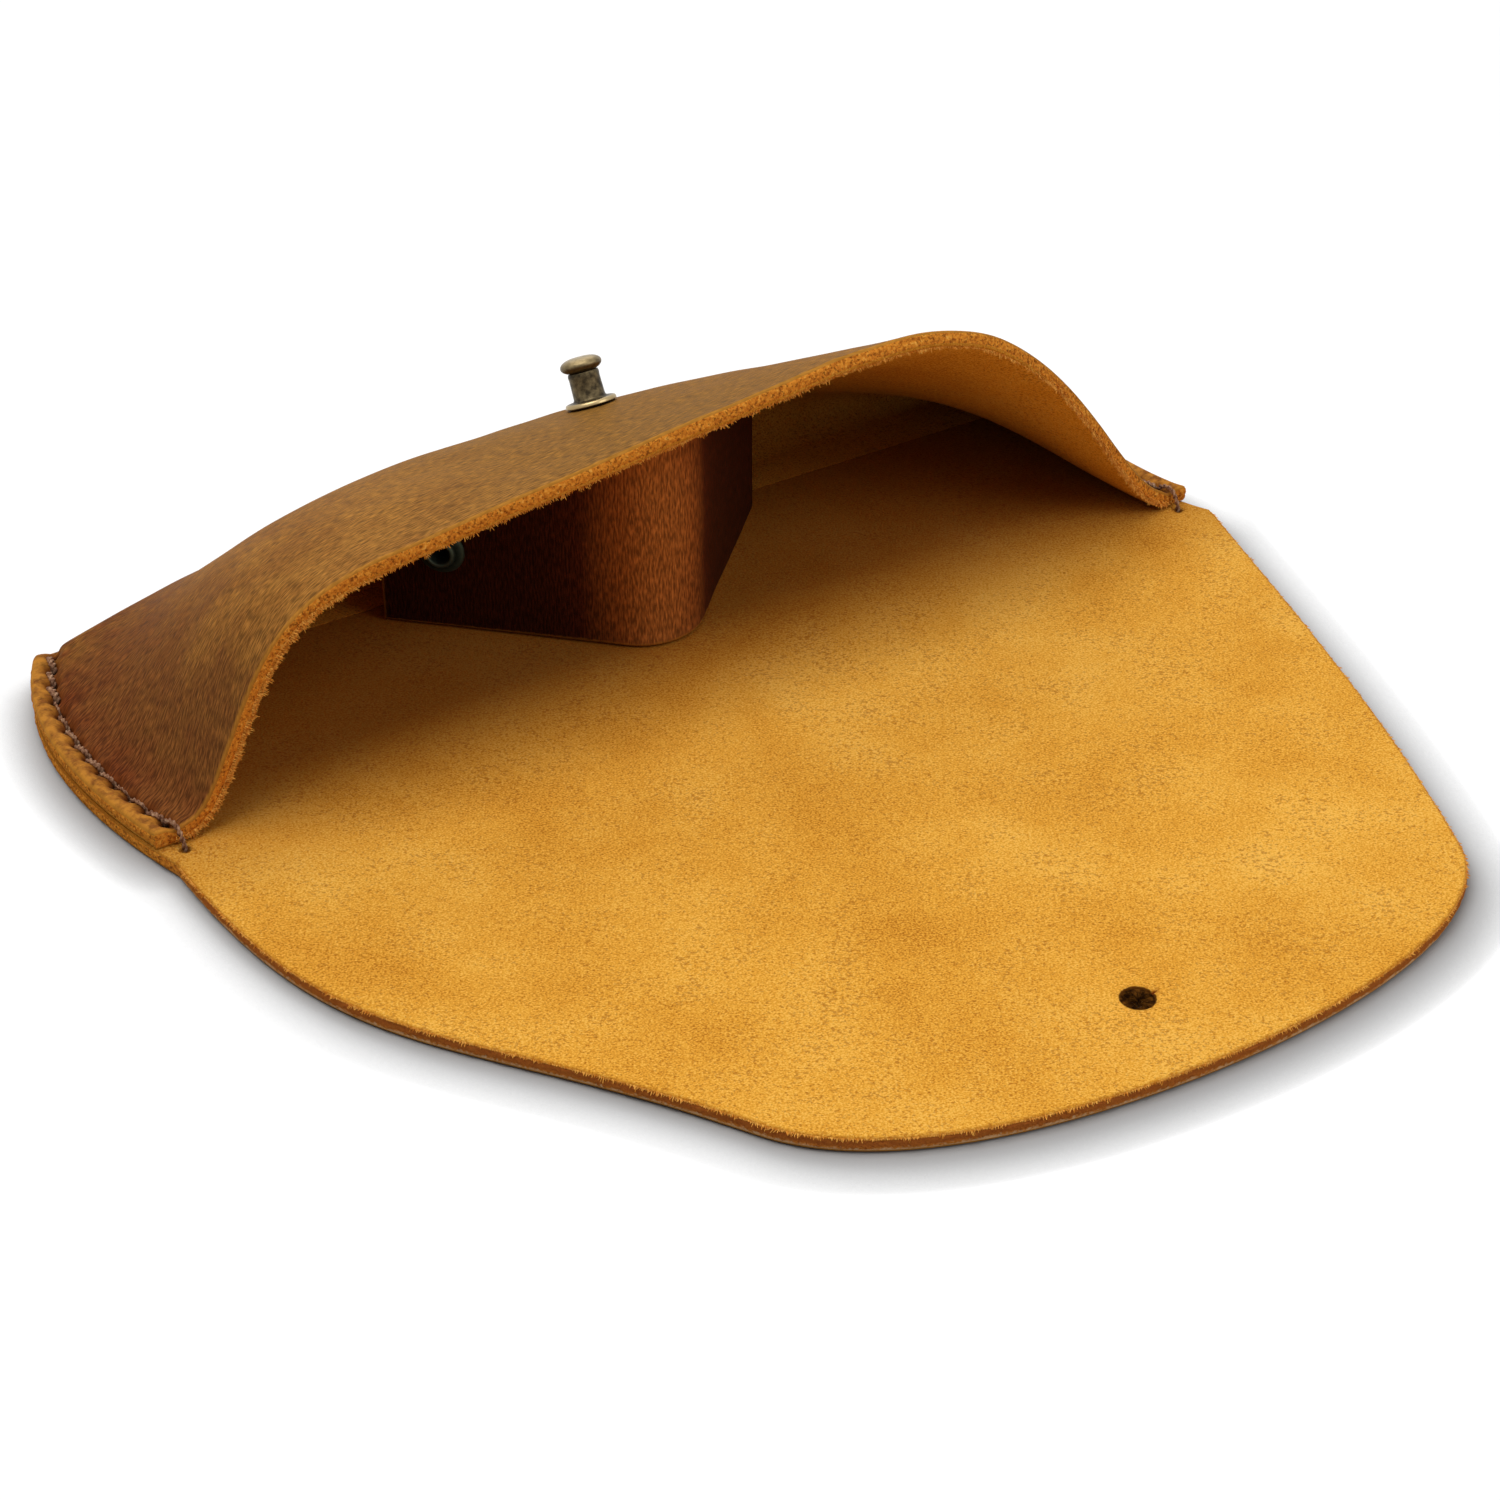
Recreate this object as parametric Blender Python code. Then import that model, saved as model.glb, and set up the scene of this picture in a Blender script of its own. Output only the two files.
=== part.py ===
"""Leather eyeglasses case: a pouch of one thick hide with a bulged front, a long button flap and a nose form.

The case lies on its back with the flap open. X runs along the mouth, Y from the mouth to the bottom fold,
Z up. The origin is the middle of the mouth line, on the underside of the back panel.
"""

import bpy
import bmesh
import math
import numpy as np
from mathutils import Matrix, Vector

# Hide
HIDE = 0.0022  # thickness of the body leather
GAP = 0.0003  # clearance between pieces that touch
LAP_GAP = 0.0005  # clearance between the two layers along the side margins

# Plan outline of the hide: it is cut by eye, so its two sides differ on the pouch and on the flap
FOLD_END_Y = 0.0503  # bottom fold at the two ends
BELLY_Y = 0.0320  # pull of the pouch side's upper handle
MOUTH_PULL_Y = 0.0090  # pull of the pouch side's lower handle
LEFT_FOLD = 0.0815  # the left side bows outwards
LEFT_BELLY = 0.0925
LEFT_MOUTH = 0.0882
RIGHT_FOLD = 0.0785  # the right side runs nearly straight
RIGHT_BELLY = 0.0830
RIGHT_MOUTH = 0.0775
NECK_HALF_WIDTH = 0.0845  # where the pouch side runs into the flap
NECK_Y = -0.0040
LEFT_SHOULDER = 0.0848  # handles of the flap's left side, a full shoulder above a hollow
LEFT_SHOULDER_Y = -0.0497
LEFT_WAIST = 0.0711
LEFT_WAIST_Y = -0.0488
LEFT_CORNER = 0.0501  # where the left side runs into the tip
LEFT_CORNER_Y = -0.0853
LEFT_TIP_PULL = 0.0152
RIGHT_SHOULDER = 0.0756  # handles of the flap's right side, a plain taper
RIGHT_SHOULDER_Y = -0.0324
RIGHT_WAIST = 0.0678
RIGHT_WAIST_Y = -0.0597
RIGHT_CORNER = 0.0544
RIGHT_CORNER_Y = -0.0886
RIGHT_TIP_PULL = 0.0157
CORNER_PULL = 0.0170  # how far each side's direction carries into the tip
FLAP_TIP_X = 0.0083
FLAP_TIP_Y = -0.1049

# Front panel: the arch of its mouth edge and the section down its middle
MOUTH_RISE = 0.0363  # of the mouth edge above the side margins, at the middle
MOUTH_LEAN = 0.31  # how much higher the arch stands towards the right
LEFT_FULLNESS = 14.0
LEFT_FLARE = 3.8
RIGHT_FULLNESS = 4.0
RIGHT_FLARE = 1.8
FOLD_FULLNESS = 1.4
FOLD_FLARE = 0.9
FOLD_MIDDLE_Y = 0.0560  # bottom fold at the middle, where the bulge pushes it out
FOLD_MIDDLE_RISE = 0.0095  # height of the fold's outermost line at the middle
FOLD_UNDERCUT = 0.0120  # how far the fold rolls under at the middle
TOP_PULL_Y = 0.0200  # handles of the middle section
TOP_PULL_Z = 0.0330
BACK_PULL_Z = 0.0200
BUTT_Y = 0.0386  # line under the pouch where the front panel's fold meets the back panel
MARGIN = 0.0032  # flat strip along each side
FLAT_SHARE = 0.7  # share of the upper section before the fold turns
MOUTH_TO_FOLD_ROWS = 13
FOLD_ROWS = 5
PANEL_COLUMNS = 48

# Side seams: one thread each, saddle stitched
STITCH_PITCH = 0.0039
FIRST_HOLE_Y = -0.0015  # the first hole pierces the back panel only, so the stitch wraps the mouth edge
LAST_HOLE_CLEAR = 0.0020  # kept free at the bottom fold
SEAM_INSET = 0.0029
THREAD = 0.0007
STRAND_OFFSET = 0.0005  # the two strands lie this far either side of the seam line
HOLE_LENGTH = 0.0013
THREAD_LIFT = 0.0002  # the lower stitches stay this far above the table
STITCH_BEND = 0.0005

# Flap: three lengths of the same hide that fold in turn
SPINE_Y = -0.0050  # first fold line, just in front of the mouth
SPINE_LENGTH = 0.0425
CROWN_LENGTH = 0.0070
BUTTON_HOLE_Y = -0.0910
BUTTON_HOLE = 0.0042
BUTTON_SLIT = 0.0024
BUTTON_SLIT_WIDTH = 0.0007

# Button stud and its screw
STUD_Y = 0.0354
STUD_FLANGE = 0.0075
STUD_FLANGE_THICK = 0.0006
STUD_POST = 0.0046
STUD_POST_HEIGHT = 0.0040
STUD_HEAD = 0.0061
STUD_HEAD_HEIGHT = 0.0023
SCREW_SHANK = 0.0024
SCREW_REACH = 0.0030  # into the stud
SCREW_HEAD = 0.0070
SCREW_HEAD_HEIGHT = 0.0011
SCREW_SLOT = 0.0008
SCREW_SLOT_DEPTH = 0.0005

# Nose form: a band standing on edge, bent into a closed nose and riveted where its ends lap
BAND = 0.0018  # thickness of the band
NOSE_X = -0.0040
NOSE_FRONT_Y = 0.0070  # outer face of the nose, behind the mouth
NOSE_RADIUS = 0.0090
NOSE_HALF_ANGLE = math.radians(45)
BAND_BACK_Y = 0.0390
BAND_CORNER = 0.0030
LAP_START = 0.0050  # inner end of the lap, measured along the leg from the nose's bend
LAP_END = 0.0355  # outer end of the lap, measured the same way
BAND_ROOF_GAP = 0.0010
RIVET_ALONG = 0.0262  # rivet's place along the leg
RIVET_Z = 0.0150
RIVET_FLANGE = 0.0068
RIVET_FLANGE_THICK = 0.0005
RIVET_RIM = 0.0046
RIVET_RIM_HEIGHT = 0.0008
RIVET_TUBE = 0.0040
RIVET_BORE = 0.0030
RIVET_LIP = 0.0058
RIVET_LIP_THICK = 0.0004
WASHER_THICK = 0.0006

ROUND_STEPS = 24


def bezier(points, s):
    """Point of a cubic curve at s, for one value or an array."""
    a, b, c, d = (np.array(p, float) for p in points)
    s = np.asarray(s, float)[..., None]
    r = 1 - s
    return r**3 * a + 3 * r**2 * s * b + 3 * r * s**2 * c + s**3 * d


def hide_outline(side):
    """One side of the hide's plan outline, from the bottom fold to the tip, with x counted outwards."""
    if side < 0:
        fold, belly, mouth = LEFT_FOLD, LEFT_BELLY, LEFT_MOUTH
        shoulder, waist = (LEFT_SHOULDER, LEFT_SHOULDER_Y), np.array((LEFT_WAIST, LEFT_WAIST_Y))
        corner, tip_pull = np.array((LEFT_CORNER, LEFT_CORNER_Y)), LEFT_TIP_PULL
    else:
        fold, belly, mouth = RIGHT_FOLD, RIGHT_BELLY, RIGHT_MOUTH
        shoulder, waist = (RIGHT_SHOULDER, RIGHT_SHOULDER_Y), np.array((RIGHT_WAIST, RIGHT_WAIST_Y))
        corner, tip_pull = np.array((RIGHT_CORNER, RIGHT_CORNER_Y)), RIGHT_TIP_PULL
    neck = (NECK_HALF_WIDTH, NECK_Y)
    run = (corner - waist) / np.linalg.norm(corner - waist)
    curves = [
        [(fold, FOLD_END_Y), (belly, BELLY_Y), (mouth, MOUTH_PULL_Y), neck],
        [neck, shoulder, waist, corner],
        [corner, corner + run * CORNER_PULL, (tip_pull, FLAP_TIP_Y), (side * FLAP_TIP_X, FLAP_TIP_Y)],
    ]
    steps = np.linspace(0, 1, 80)
    return np.concatenate([bezier(curve, steps)[:-1] for curve in curves])


OUTLINES = {side: hide_outline(side) for side in (-1, 1)}


def half_width(y, side):
    """Distance from the middle to the edge on one side, which is left below 0."""
    outline = OUTLINES[-1 if side < 0 else 1]
    return float(np.interp(-y, -outline[:, 1], outline[:, 0]))


def plan_strip(y_far, y_near, step=0.0025):
    """Closed plan outline of the hide between two lines across it."""
    count = max(2, math.ceil((y_far - y_near) / step))
    ys = np.linspace(y_far, y_near, count + 1)
    right = [(half_width(y, 1), y) for y in ys]
    left = [(-half_width(y, -1), y) for y in reversed(ys)]
    return right + left


def plan_tip(y_far, step=0.0025):
    """Closed plan outline of the flap from a line across it to its tip."""
    sides = {}
    for side, outline in OUTLINES.items():
        line = [(half_width(y_far, side), y_far)]
        for x, y in outline[outline[:, 1] < y_far]:
            if math.dist((x, y), line[-1]) > step:
                line.append((x, y))
        sides[side] = [(side * x, y) for x, y in line[:-1]]
    return sides[1] + [(FLAP_TIP_X, FLAP_TIP_Y)] + sides[-1][::-1]


# Surface of the front panel, from its mouth edge (s = 0) over the fold (s = 1) to the butt line (s = 3)
END_RADIUS = HIDE + LAP_GAP / 2


def end_section(s):
    """Section at the side margins: flat on the back panel, then a tight turn."""
    flat_y = FOLD_END_Y - END_RADIUS
    if s <= FLAT_SHARE:
        return flat_y * s / FLAT_SHARE, 2 * END_RADIUS
    if s <= 2:
        share = (s - FLAT_SHARE) / (1 - FLAT_SHARE) if s < 1 else s
        turn = math.radians(90) * share
        return flat_y + END_RADIUS * math.sin(turn), END_RADIUS * (1 + math.cos(turn))
    return flat_y + (BUTT_Y + GAP - flat_y) * (s - 2), 0.0


def middle_section(s):
    """Section down the middle: a long slope that rolls over the fold."""
    if s <= 1:
        y, z = bezier(
            [
                (0, 2 * END_RADIUS + MOUTH_RISE),
                (TOP_PULL_Y, TOP_PULL_Z),
                (FOLD_MIDDLE_Y, BACK_PULL_Z),
                (FOLD_MIDDLE_Y, FOLD_MIDDLE_RISE),
            ],
            s,
        )
        return float(y), float(z)
    roll_y = FOLD_MIDDLE_Y - FOLD_UNDERCUT
    if s <= 2:
        turn = math.radians(90) * (s - 1)
        return roll_y + FOLD_UNDERCUT * math.cos(turn), FOLD_MIDDLE_RISE * (1 - math.sin(turn))
    return roll_y + (BUTT_Y + GAP - roll_y) * (s - 2), 0.0


def swell(t, s, width):
    """Share of the bulge at t, -1 at the left edge and 1 at the right."""
    reach = abs(t) * width / (width - MARGIN)
    if reach >= 1:
        return 0.0
    along = min(1.0, s / FLAT_SHARE)
    fullness, flare = (LEFT_FULLNESS, LEFT_FLARE) if t < 0 else (RIGHT_FULLNESS, RIGHT_FLARE)
    fullness += (FOLD_FULLNESS - fullness) * along
    flare += (FOLD_FLARE - flare) * along
    return (1 - reach**fullness) ** flare


def panel_point(t, s):
    """Point on the outside of the front panel."""
    end_y, end_z = end_section(s)
    middle_y, middle_z = middle_section(s)
    width = half_width(end_y, t)
    share = swell(t, s, width)
    lean = 1 + MOUTH_LEAN * t * max(0.0, 1 - s / FLAT_SHARE)
    y = end_y + (middle_y - end_y) * share
    z = end_z + (middle_z - end_z) * share * lean
    return Vector((t * width, y, z))


def panel_normal(t, s):
    """Outward direction of the front panel."""
    small = 1e-4
    across = panel_point(min(1, t + small), s) - panel_point(max(-1, t - small), s)
    down = panel_point(t, min(3, s + small)) - panel_point(t, max(0, s - small))
    return across.cross(down).normalized()


def panel_place(x, y):
    """The t and s of the front panel's slope above a plan point."""
    t = x / half_width(y, x)
    steps = np.linspace(0, 1, 60)
    ys = [panel_point(t, s).y for s in steps]
    return t, float(np.interp(y, ys, steps))


def roof_height(x, y):
    """Height of the front panel's inner face above a plan point."""
    t, s = panel_place(x, y)
    return panel_point(t, s).z - HIDE / panel_normal(t, s).z


# Building helpers
def finish(name, colour, roughness, metallic=0.0):
    material = bpy.data.materials.new(name)
    material.use_nodes = True
    shader = material.node_tree.nodes["Principled BSDF"]
    shader.inputs["Base Color"].default_value = (*colour, 1)
    shader.inputs["Roughness"].default_value = roughness
    shader.inputs["Metallic"].default_value = metallic
    material.diffuse_color = (*colour, 1)
    return material


def add_object(name, data, material=None, parent=None, place=Matrix()):
    piece = bpy.data.objects.new(name, data)
    bpy.context.scene.collection.objects.link(piece)
    if material:
        data.materials.append(material)
    piece.parent = parent
    piece.matrix_local = place
    return piece


def mesh_of(name, points, faces, smooth_angle=None):
    mesh = bpy.data.meshes.new(name)
    mesh.from_pydata([tuple(p) for p in points], [], faces)
    shape = bmesh.new()
    shape.from_mesh(mesh)
    bmesh.ops.recalc_face_normals(shape, faces=shape.faces)
    shape.to_mesh(mesh)
    shape.free()
    if smooth_angle:
        mesh.shade_smooth()
        mesh.set_sharp_from_angle(angle=math.radians(smooth_angle))
    return mesh


def slab(name, outline, bottom, top):
    """Flat piece with a plan outline."""
    n = len(outline)
    points = [(x, y, bottom) for x, y in outline] + [(x, y, top) for x, y in outline]
    sides = [(i, (i + 1) % n, n + (i + 1) % n, n + i) for i in range(n)]
    return mesh_of(name, points, [tuple(range(n)), tuple(range(n, 2 * n))] + sides)


def shell(name, outer, inner, smooth_angle):
    """Closed sheet between two grids of points, given row by row."""
    rows, columns = len(outer), len(outer[0])
    points = [p for row in outer for p in row] + [p for row in inner for p in row]
    offset = rows * columns

    def at(row, column, side):
        return side * offset + row * columns + column

    faces = []
    for side in (0, 1):
        for i in range(rows - 1):
            for j in range(columns - 1):
                corners = ((i, j), (i, j + 1), (i + 1, j + 1), (i + 1, j))
                faces.append(tuple(at(a, b, side) for a, b in corners))
    rim = [(0, j) for j in range(columns)]
    rim += [(i, columns - 1) for i in range(1, rows)]
    rim += [(rows - 1, j) for j in range(columns - 2, -1, -1)]
    rim += [(i, 0) for i in range(rows - 2, 0, -1)]
    for a, b in zip(rim, rim[1:] + rim[:1]):
        faces.append((at(*a, 0), at(*b, 0), at(*b, 1), at(*a, 1)))
    return mesh_of(name, points, faces, smooth_angle)


def turned(name, profile, steps=ROUND_STEPS):
    """Solid turned about Z from a closed profile of (radius, height) points."""
    points = []
    rings = []
    for radius, height in profile:
        if radius == 0:
            rings.append([len(points)])
            points.append((0, 0, height))
            continue
        rings.append(list(range(len(points), len(points) + steps)))
        for k in range(steps):
            turn = 2 * math.pi * k / steps
            points.append((radius * math.cos(turn), radius * math.sin(turn), height))
    faces = []
    for low, high in zip(rings, rings[1:] + rings[:1]):
        for k in range(steps):
            loop = [low[k % len(low)], low[(k + 1) % len(low)]]
            loop += [high[(k + 1) % len(high)], high[k % len(high)]]
            face = list(dict.fromkeys(loop))
            if len(face) > 2:
                faces.append(face)
    return mesh_of(name, points, faces, smooth_angle=35)


def box(name, size, centre):
    half = Vector(size) / 2
    corners = [(-1, -1), (1, -1), (1, 1), (-1, 1)]
    outline = [(centre[0] + half.x * x, centre[1] + half.y * y) for x, y in corners]
    return slab(name, outline, centre[2] - half.z, centre[2] + half.z)


def cutter(name, data, place=Matrix()):
    piece = add_object(name, data, place=place)
    piece.hide_render = True
    piece.display_type = "WIRE"
    return piece


def cut(piece, tool):
    modifier = piece.modifiers.new(tool.name, "BOOLEAN")
    modifier.operation = "DIFFERENCE"
    modifier.solver = "EXACT"
    modifier.object = tool


def joined(name, meshes):
    """One mesh that holds several separate closed shapes."""
    shape = bmesh.new()
    for mesh in meshes:
        shape.from_mesh(mesh)
    merged = bpy.data.meshes.new(name)
    shape.to_mesh(merged)
    shape.free()
    return merged


def frame_along(axis, origin):
    """Placement whose Z runs along an axis."""
    turn = Vector(axis).to_track_quat("Z", "Y").to_matrix().to_4x4()
    return Matrix.Translation(origin) @ turn


# Side seams
def seam_line(side):
    """Arc lengths and plan points of a seam, from in front of the mouth to the fold."""
    ys = np.linspace(FIRST_HOLE_Y - STITCH_PITCH, FOLD_END_Y, 120)
    xs = np.array([side * (half_width(y, side) - SEAM_INSET) for y in ys])
    steps = np.hypot(np.diff(xs), np.diff(ys))
    lengths = np.concatenate([[0], np.cumsum(steps)])
    return lengths, xs, ys


class Seam:
    def __init__(self, side):
        self.lengths, self.xs, self.ys = seam_line(side)
        start = float(np.interp(FIRST_HOLE_Y, self.ys, self.lengths))
        end = float(np.interp(FOLD_END_Y - LAST_HOLE_CLEAR, self.ys, self.lengths))
        count = int((end - start) / STITCH_PITCH + 1e-6)
        self.holes = [start + STITCH_PITCH * i for i in range(count + 1)]

    def plan(self, along, aside=0.0):
        """Plan point, with an offset across the seam."""
        ends = [
            Vector((np.interp(a, self.lengths, self.xs), np.interp(a, self.lengths, self.ys)))
            for a in (along - 1e-4, along + 1e-4)
        ]
        run = (ends[1] - ends[0]).normalized()
        return (ends[0] + ends[1]) / 2 + Vector((-run.y, run.x)) * aside

    def strip(self, name, start, end, half, bottom, top):
        """Straight-sided band along the seam, used as a cutter."""
        count = max(1, round((end - start) / (STITCH_PITCH / 2)))
        stops = np.linspace(start, end, count + 1)
        outline = [tuple(self.plan(a, -half)) for a in stops]
        outline += [tuple(self.plan(a, half)) for a in reversed(stops)]
        return slab(name, outline, bottom, top)

    def thread_points(self):
        """One strand to the fold and back again, over and under by turns."""
        upper = 2 * END_RADIUS + GAP + THREAD / 2
        lower = THREAD_LIFT + THREAD / 2
        last = len(self.holes) - 1
        points = []

        def add(along, aside, height):
            x, y = self.plan(along, aside)
            points.append((x, y, height))

        def pass_hole(along, aside, run, start, end):
            """Turn down or up through a hole, coming and leaving in the direction run."""
            rise = STITCH_BEND if end > start else -STITCH_BEND
            add(along - run * STITCH_BEND, aside, start)
            add(along - run * STITCH_BEND * 0.3, aside, start + rise * 0.3)
            add(along, aside, start + rise)
            add(along, aside, end - rise)
            return rise

        add(self.holes[0] - STITCH_BEND * 2, STRAND_OFFSET, lower)
        for i, hole in enumerate(self.holes):
            start, end = (lower, upper) if i % 2 == 0 else (upper, lower)
            rise = pass_hole(hole, STRAND_OFFSET, 1, start, end)
            if i < last:
                add(hole + STITCH_BEND * 0.3, STRAND_OFFSET, end - rise * 0.3)
                add(hole + STITCH_BEND, STRAND_OFFSET, end)
        turn = STRAND_OFFSET * 0.4
        add(self.holes[last], turn, end)
        add(self.holes[last], -turn, end)
        add(self.holes[last] - STITCH_BEND, -STRAND_OFFSET, end)
        for i in range(last - 1, 0, -1):
            start, end = end, start
            rise = pass_hole(self.holes[i], -STRAND_OFFSET, -1, start, end)
            add(self.holes[i] - STITCH_BEND * 0.3, -STRAND_OFFSET, end - rise * 0.3)
            add(self.holes[i] - STITCH_BEND, -STRAND_OFFSET, end)
        add(self.holes[0], -STRAND_OFFSET, end)
        return points


def add_thread(name, seam, material, parent):
    curve = bpy.data.curves.new(name, "CURVE")
    curve.dimensions = "3D"
    curve.bevel_depth = THREAD / 2
    curve.bevel_resolution = 1
    curve.use_fill_caps = True
    points = seam.thread_points()
    spline = curve.splines.new("POLY")
    spline.points.add(len(points) - 1)
    for point, place in zip(spline.points, points):
        point.co = (*place, 1)
    return add_object(name, curve, material, parent)


# Nose band
def filleted(corners, radii, steps=8):
    """Plan path through corners, each but the first and last rounded to its radius."""
    path = [corners[0]]
    for before, corner, after, radius in zip(corners, corners[1:], corners[2:], radii):
        into = (corner - before).normalized()
        out = (after - corner).normalized()
        turn = math.acos(max(-1.0, min(1.0, into.dot(out))))
        reach = radius * math.tan(turn / 2)
        side = 1 if into.x * out.y - into.y * out.x > 0 else -1
        centre = corner - into * reach + Vector((-into.y, into.x)) * radius * side
        arm = corner - into * reach - centre
        for k in range(steps + 1):
            angle = side * turn * k / steps
            c, s = math.cos(angle), math.sin(angle)
            path.append(centre + Vector((arm.x * c - arm.y * s, arm.x * s + arm.y * c)))
    return path + [corners[-1]]


class NoseBand:
    """Middle line of the band in plan, from the lap's inner end round to its outer end."""

    def __init__(self):
        bend = NOSE_RADIUS - BAND / 2
        lean = math.sin(NOSE_HALF_ANGLE)
        stand = math.cos(NOSE_HALF_ANGLE)
        self.left = Vector((-lean, stand))
        right = Vector((lean, stand))
        apex = Vector((NOSE_X, NOSE_FRONT_Y + NOSE_RADIUS - bend / lean))
        inward = Vector((stand, lean))
        inner = apex + inward * (BAND + GAP)
        self.out = -inward
        self.bend_end = apex + self.left * bend / math.tan(NOSE_HALF_ANGLE)
        corners = [
            self.bend_end + inward * (BAND + GAP) + self.left * LAP_START,
            inner + self.left * (BAND_BACK_Y - inner.y) / stand,
            apex + right * (BAND_BACK_Y - apex.y) / stand,
            apex,
            self.bend_end + self.left * LAP_END,
        ]
        self.path = filleted(corners, [BAND_CORNER, BAND_CORNER, bend])

    def mesh(self, name):
        """Upright band whose top edge follows the slope of the front panel."""
        path = []
        for a, b in zip(self.path, self.path[1:]):
            count = max(1, round((b - a).length / 0.004))
            path += [a + (b - a) * k / count for k in range(count)]
        path.append(self.path[-1])
        outer = []
        inner = []
        for i, point in enumerate(path):
            run = (path[min(i + 1, len(path) - 1)] - path[max(i - 1, 0)]).normalized()
            aside = Vector((-run.y, run.x)) * BAND / 2
            floor = HIDE + GAP
            for line, place in ((outer, point - aside), (inner, point + aside)):
                top = roof_height(*place) - BAND_ROOF_GAP
                line.append([(*place, floor), (*place, top)])
        return shell(name, outer, inner, smooth_angle=35)

    def rivet_frame(self):
        """Placement of the rivet on the band's outer face, facing the mouth."""
        place = self.bend_end + self.left * RIVET_ALONG + self.out * BAND / 2
        return frame_along((*self.out, 0), (*place, RIVET_Z))


def build():
    for old in list(bpy.data.objects):
        bpy.data.objects.remove(old, do_unlink=True)

    grain = finish("brown_pull_up_leather", (0.22, 0.10, 0.03), 0.55)
    flesh = finish("tan_flesh_side_leather", (0.73, 0.36, 0.04), 0.9)
    band_hide = finish("band_leather", (0.35, 0.15, 0.04), 0.6)
    thread = finish("waxed_brown_thread", (0.16, 0.07, 0.03), 0.6)
    brass = finish("antique_brass", (0.36, 0.30, 0.19), 0.35, 1.0)
    patina = finish("green_brown_brass", (0.16, 0.17, 0.12), 0.5, 1.0)

    case = add_object("case", None)
    seams = {"left_seam_thread": Seam(-1), "right_seam_thread": Seam(1)}

    # Hide: back panel, front panel with the bottom fold, and the flap in three lengths
    back_panel = add_object(
        "back_panel", slab("back_panel", plan_strip(BUTT_Y, SPINE_Y + GAP / 2), 0, HIDE), flesh, case
    )
    rows = list(np.linspace(0, FLAT_SHARE, MOUTH_TO_FOLD_ROWS))
    rows += list(np.linspace(FLAT_SHARE, 1, FOLD_ROWS + 1)[1:])
    rows += list(np.linspace(1, 2, FOLD_ROWS + 1)[1:]) + [3]
    columns = np.sin(np.linspace(-math.pi / 2, math.pi / 2, PANEL_COLUMNS + 1))
    outer = [[panel_point(t, s) for t in columns] for s in rows]
    inner = [
        [panel_point(t, s) - panel_normal(t, s) * HIDE for t in columns] for s in rows
    ]
    front_panel = add_object(
        "front_panel", shell("front_panel", outer, inner, 40), grain, case
    )

    crown_y = SPINE_Y - SPINE_LENGTH
    tongue_y = crown_y - CROWN_LENGTH

    def flap_length(name, outline, hinge_y, parent, parent_hinge):
        local = [(x, y - hinge_y) for x, y in outline]
        place = Matrix.Translation(Vector((0, hinge_y, HIDE)) - parent_hinge)
        return add_object(name, slab(name, local, -HIDE, 0), flesh, parent, place)

    top = Vector((0, 0, HIDE))
    flap_spine = flap_length(
        "flap_spine", plan_strip(SPINE_Y - GAP / 2, crown_y + GAP / 2), SPINE_Y, case, Vector()
    )
    flap_crown = flap_length(
        "flap_crown",
        plan_strip(crown_y - GAP / 2, tongue_y + GAP / 2),
        crown_y,
        flap_spine,
        top + Vector((0, SPINE_Y, 0)),
    )
    flap_tongue = flap_length(
        "flap_tongue", plan_tip(tongue_y - GAP / 2), tongue_y, flap_crown, top + Vector((0, crown_y, 0))
    )

    # Button hole: a round hole with a short slit beside it
    round_hole = turned(
        "round_hole", [(0, -HIDE), (BUTTON_HOLE / 2, -HIDE), (BUTTON_HOLE / 2, 2 * HIDE), (0, 2 * HIDE)]
    )
    cut(flap_tongue, cutter("round_hole_cutter", round_hole, Matrix.Translation((0, BUTTON_HOLE_Y, 0))))
    slit_end = BUTTON_HOLE / 2 + BUTTON_SLIT
    slit = box("slit", (slit_end, BUTTON_SLIT_WIDTH, 3 * HIDE), (slit_end / 2, BUTTON_HOLE_Y, HIDE / 2))
    cut(flap_tongue, cutter("slit_cutter", slit))

    # Seams: awl slots through both layers, a groove under the back, and the thread itself
    slot_half = STRAND_OFFSET + THREAD / 2 + GAP
    groove_top = THREAD_LIFT + THREAD + GAP
    slots = []
    grooves = []
    for seam in seams.values():
        for hole in seam.holes:
            ends = (hole - HOLE_LENGTH / 2, hole + HOLE_LENGTH / 2)
            slots.append(seam.strip("slot", *ends, slot_half, -HIDE, 4 * HIDE))
        ends = (seam.holes[0] - HOLE_LENGTH, seam.holes[-1] + HOLE_LENGTH)
        grooves.append(seam.strip("groove", *ends, slot_half, -HIDE, groove_top))
    slot_cutter = cutter("slot_cutter", joined("slots", slots))
    groove_cutter = cutter("groove_cutter", joined("grooves", grooves))
    for panel in (back_panel, front_panel):
        cut(panel, groove_cutter)
        cut(panel, slot_cutter)
    for name, seam in seams.items():
        add_thread(name, seam, thread, case)

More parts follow.
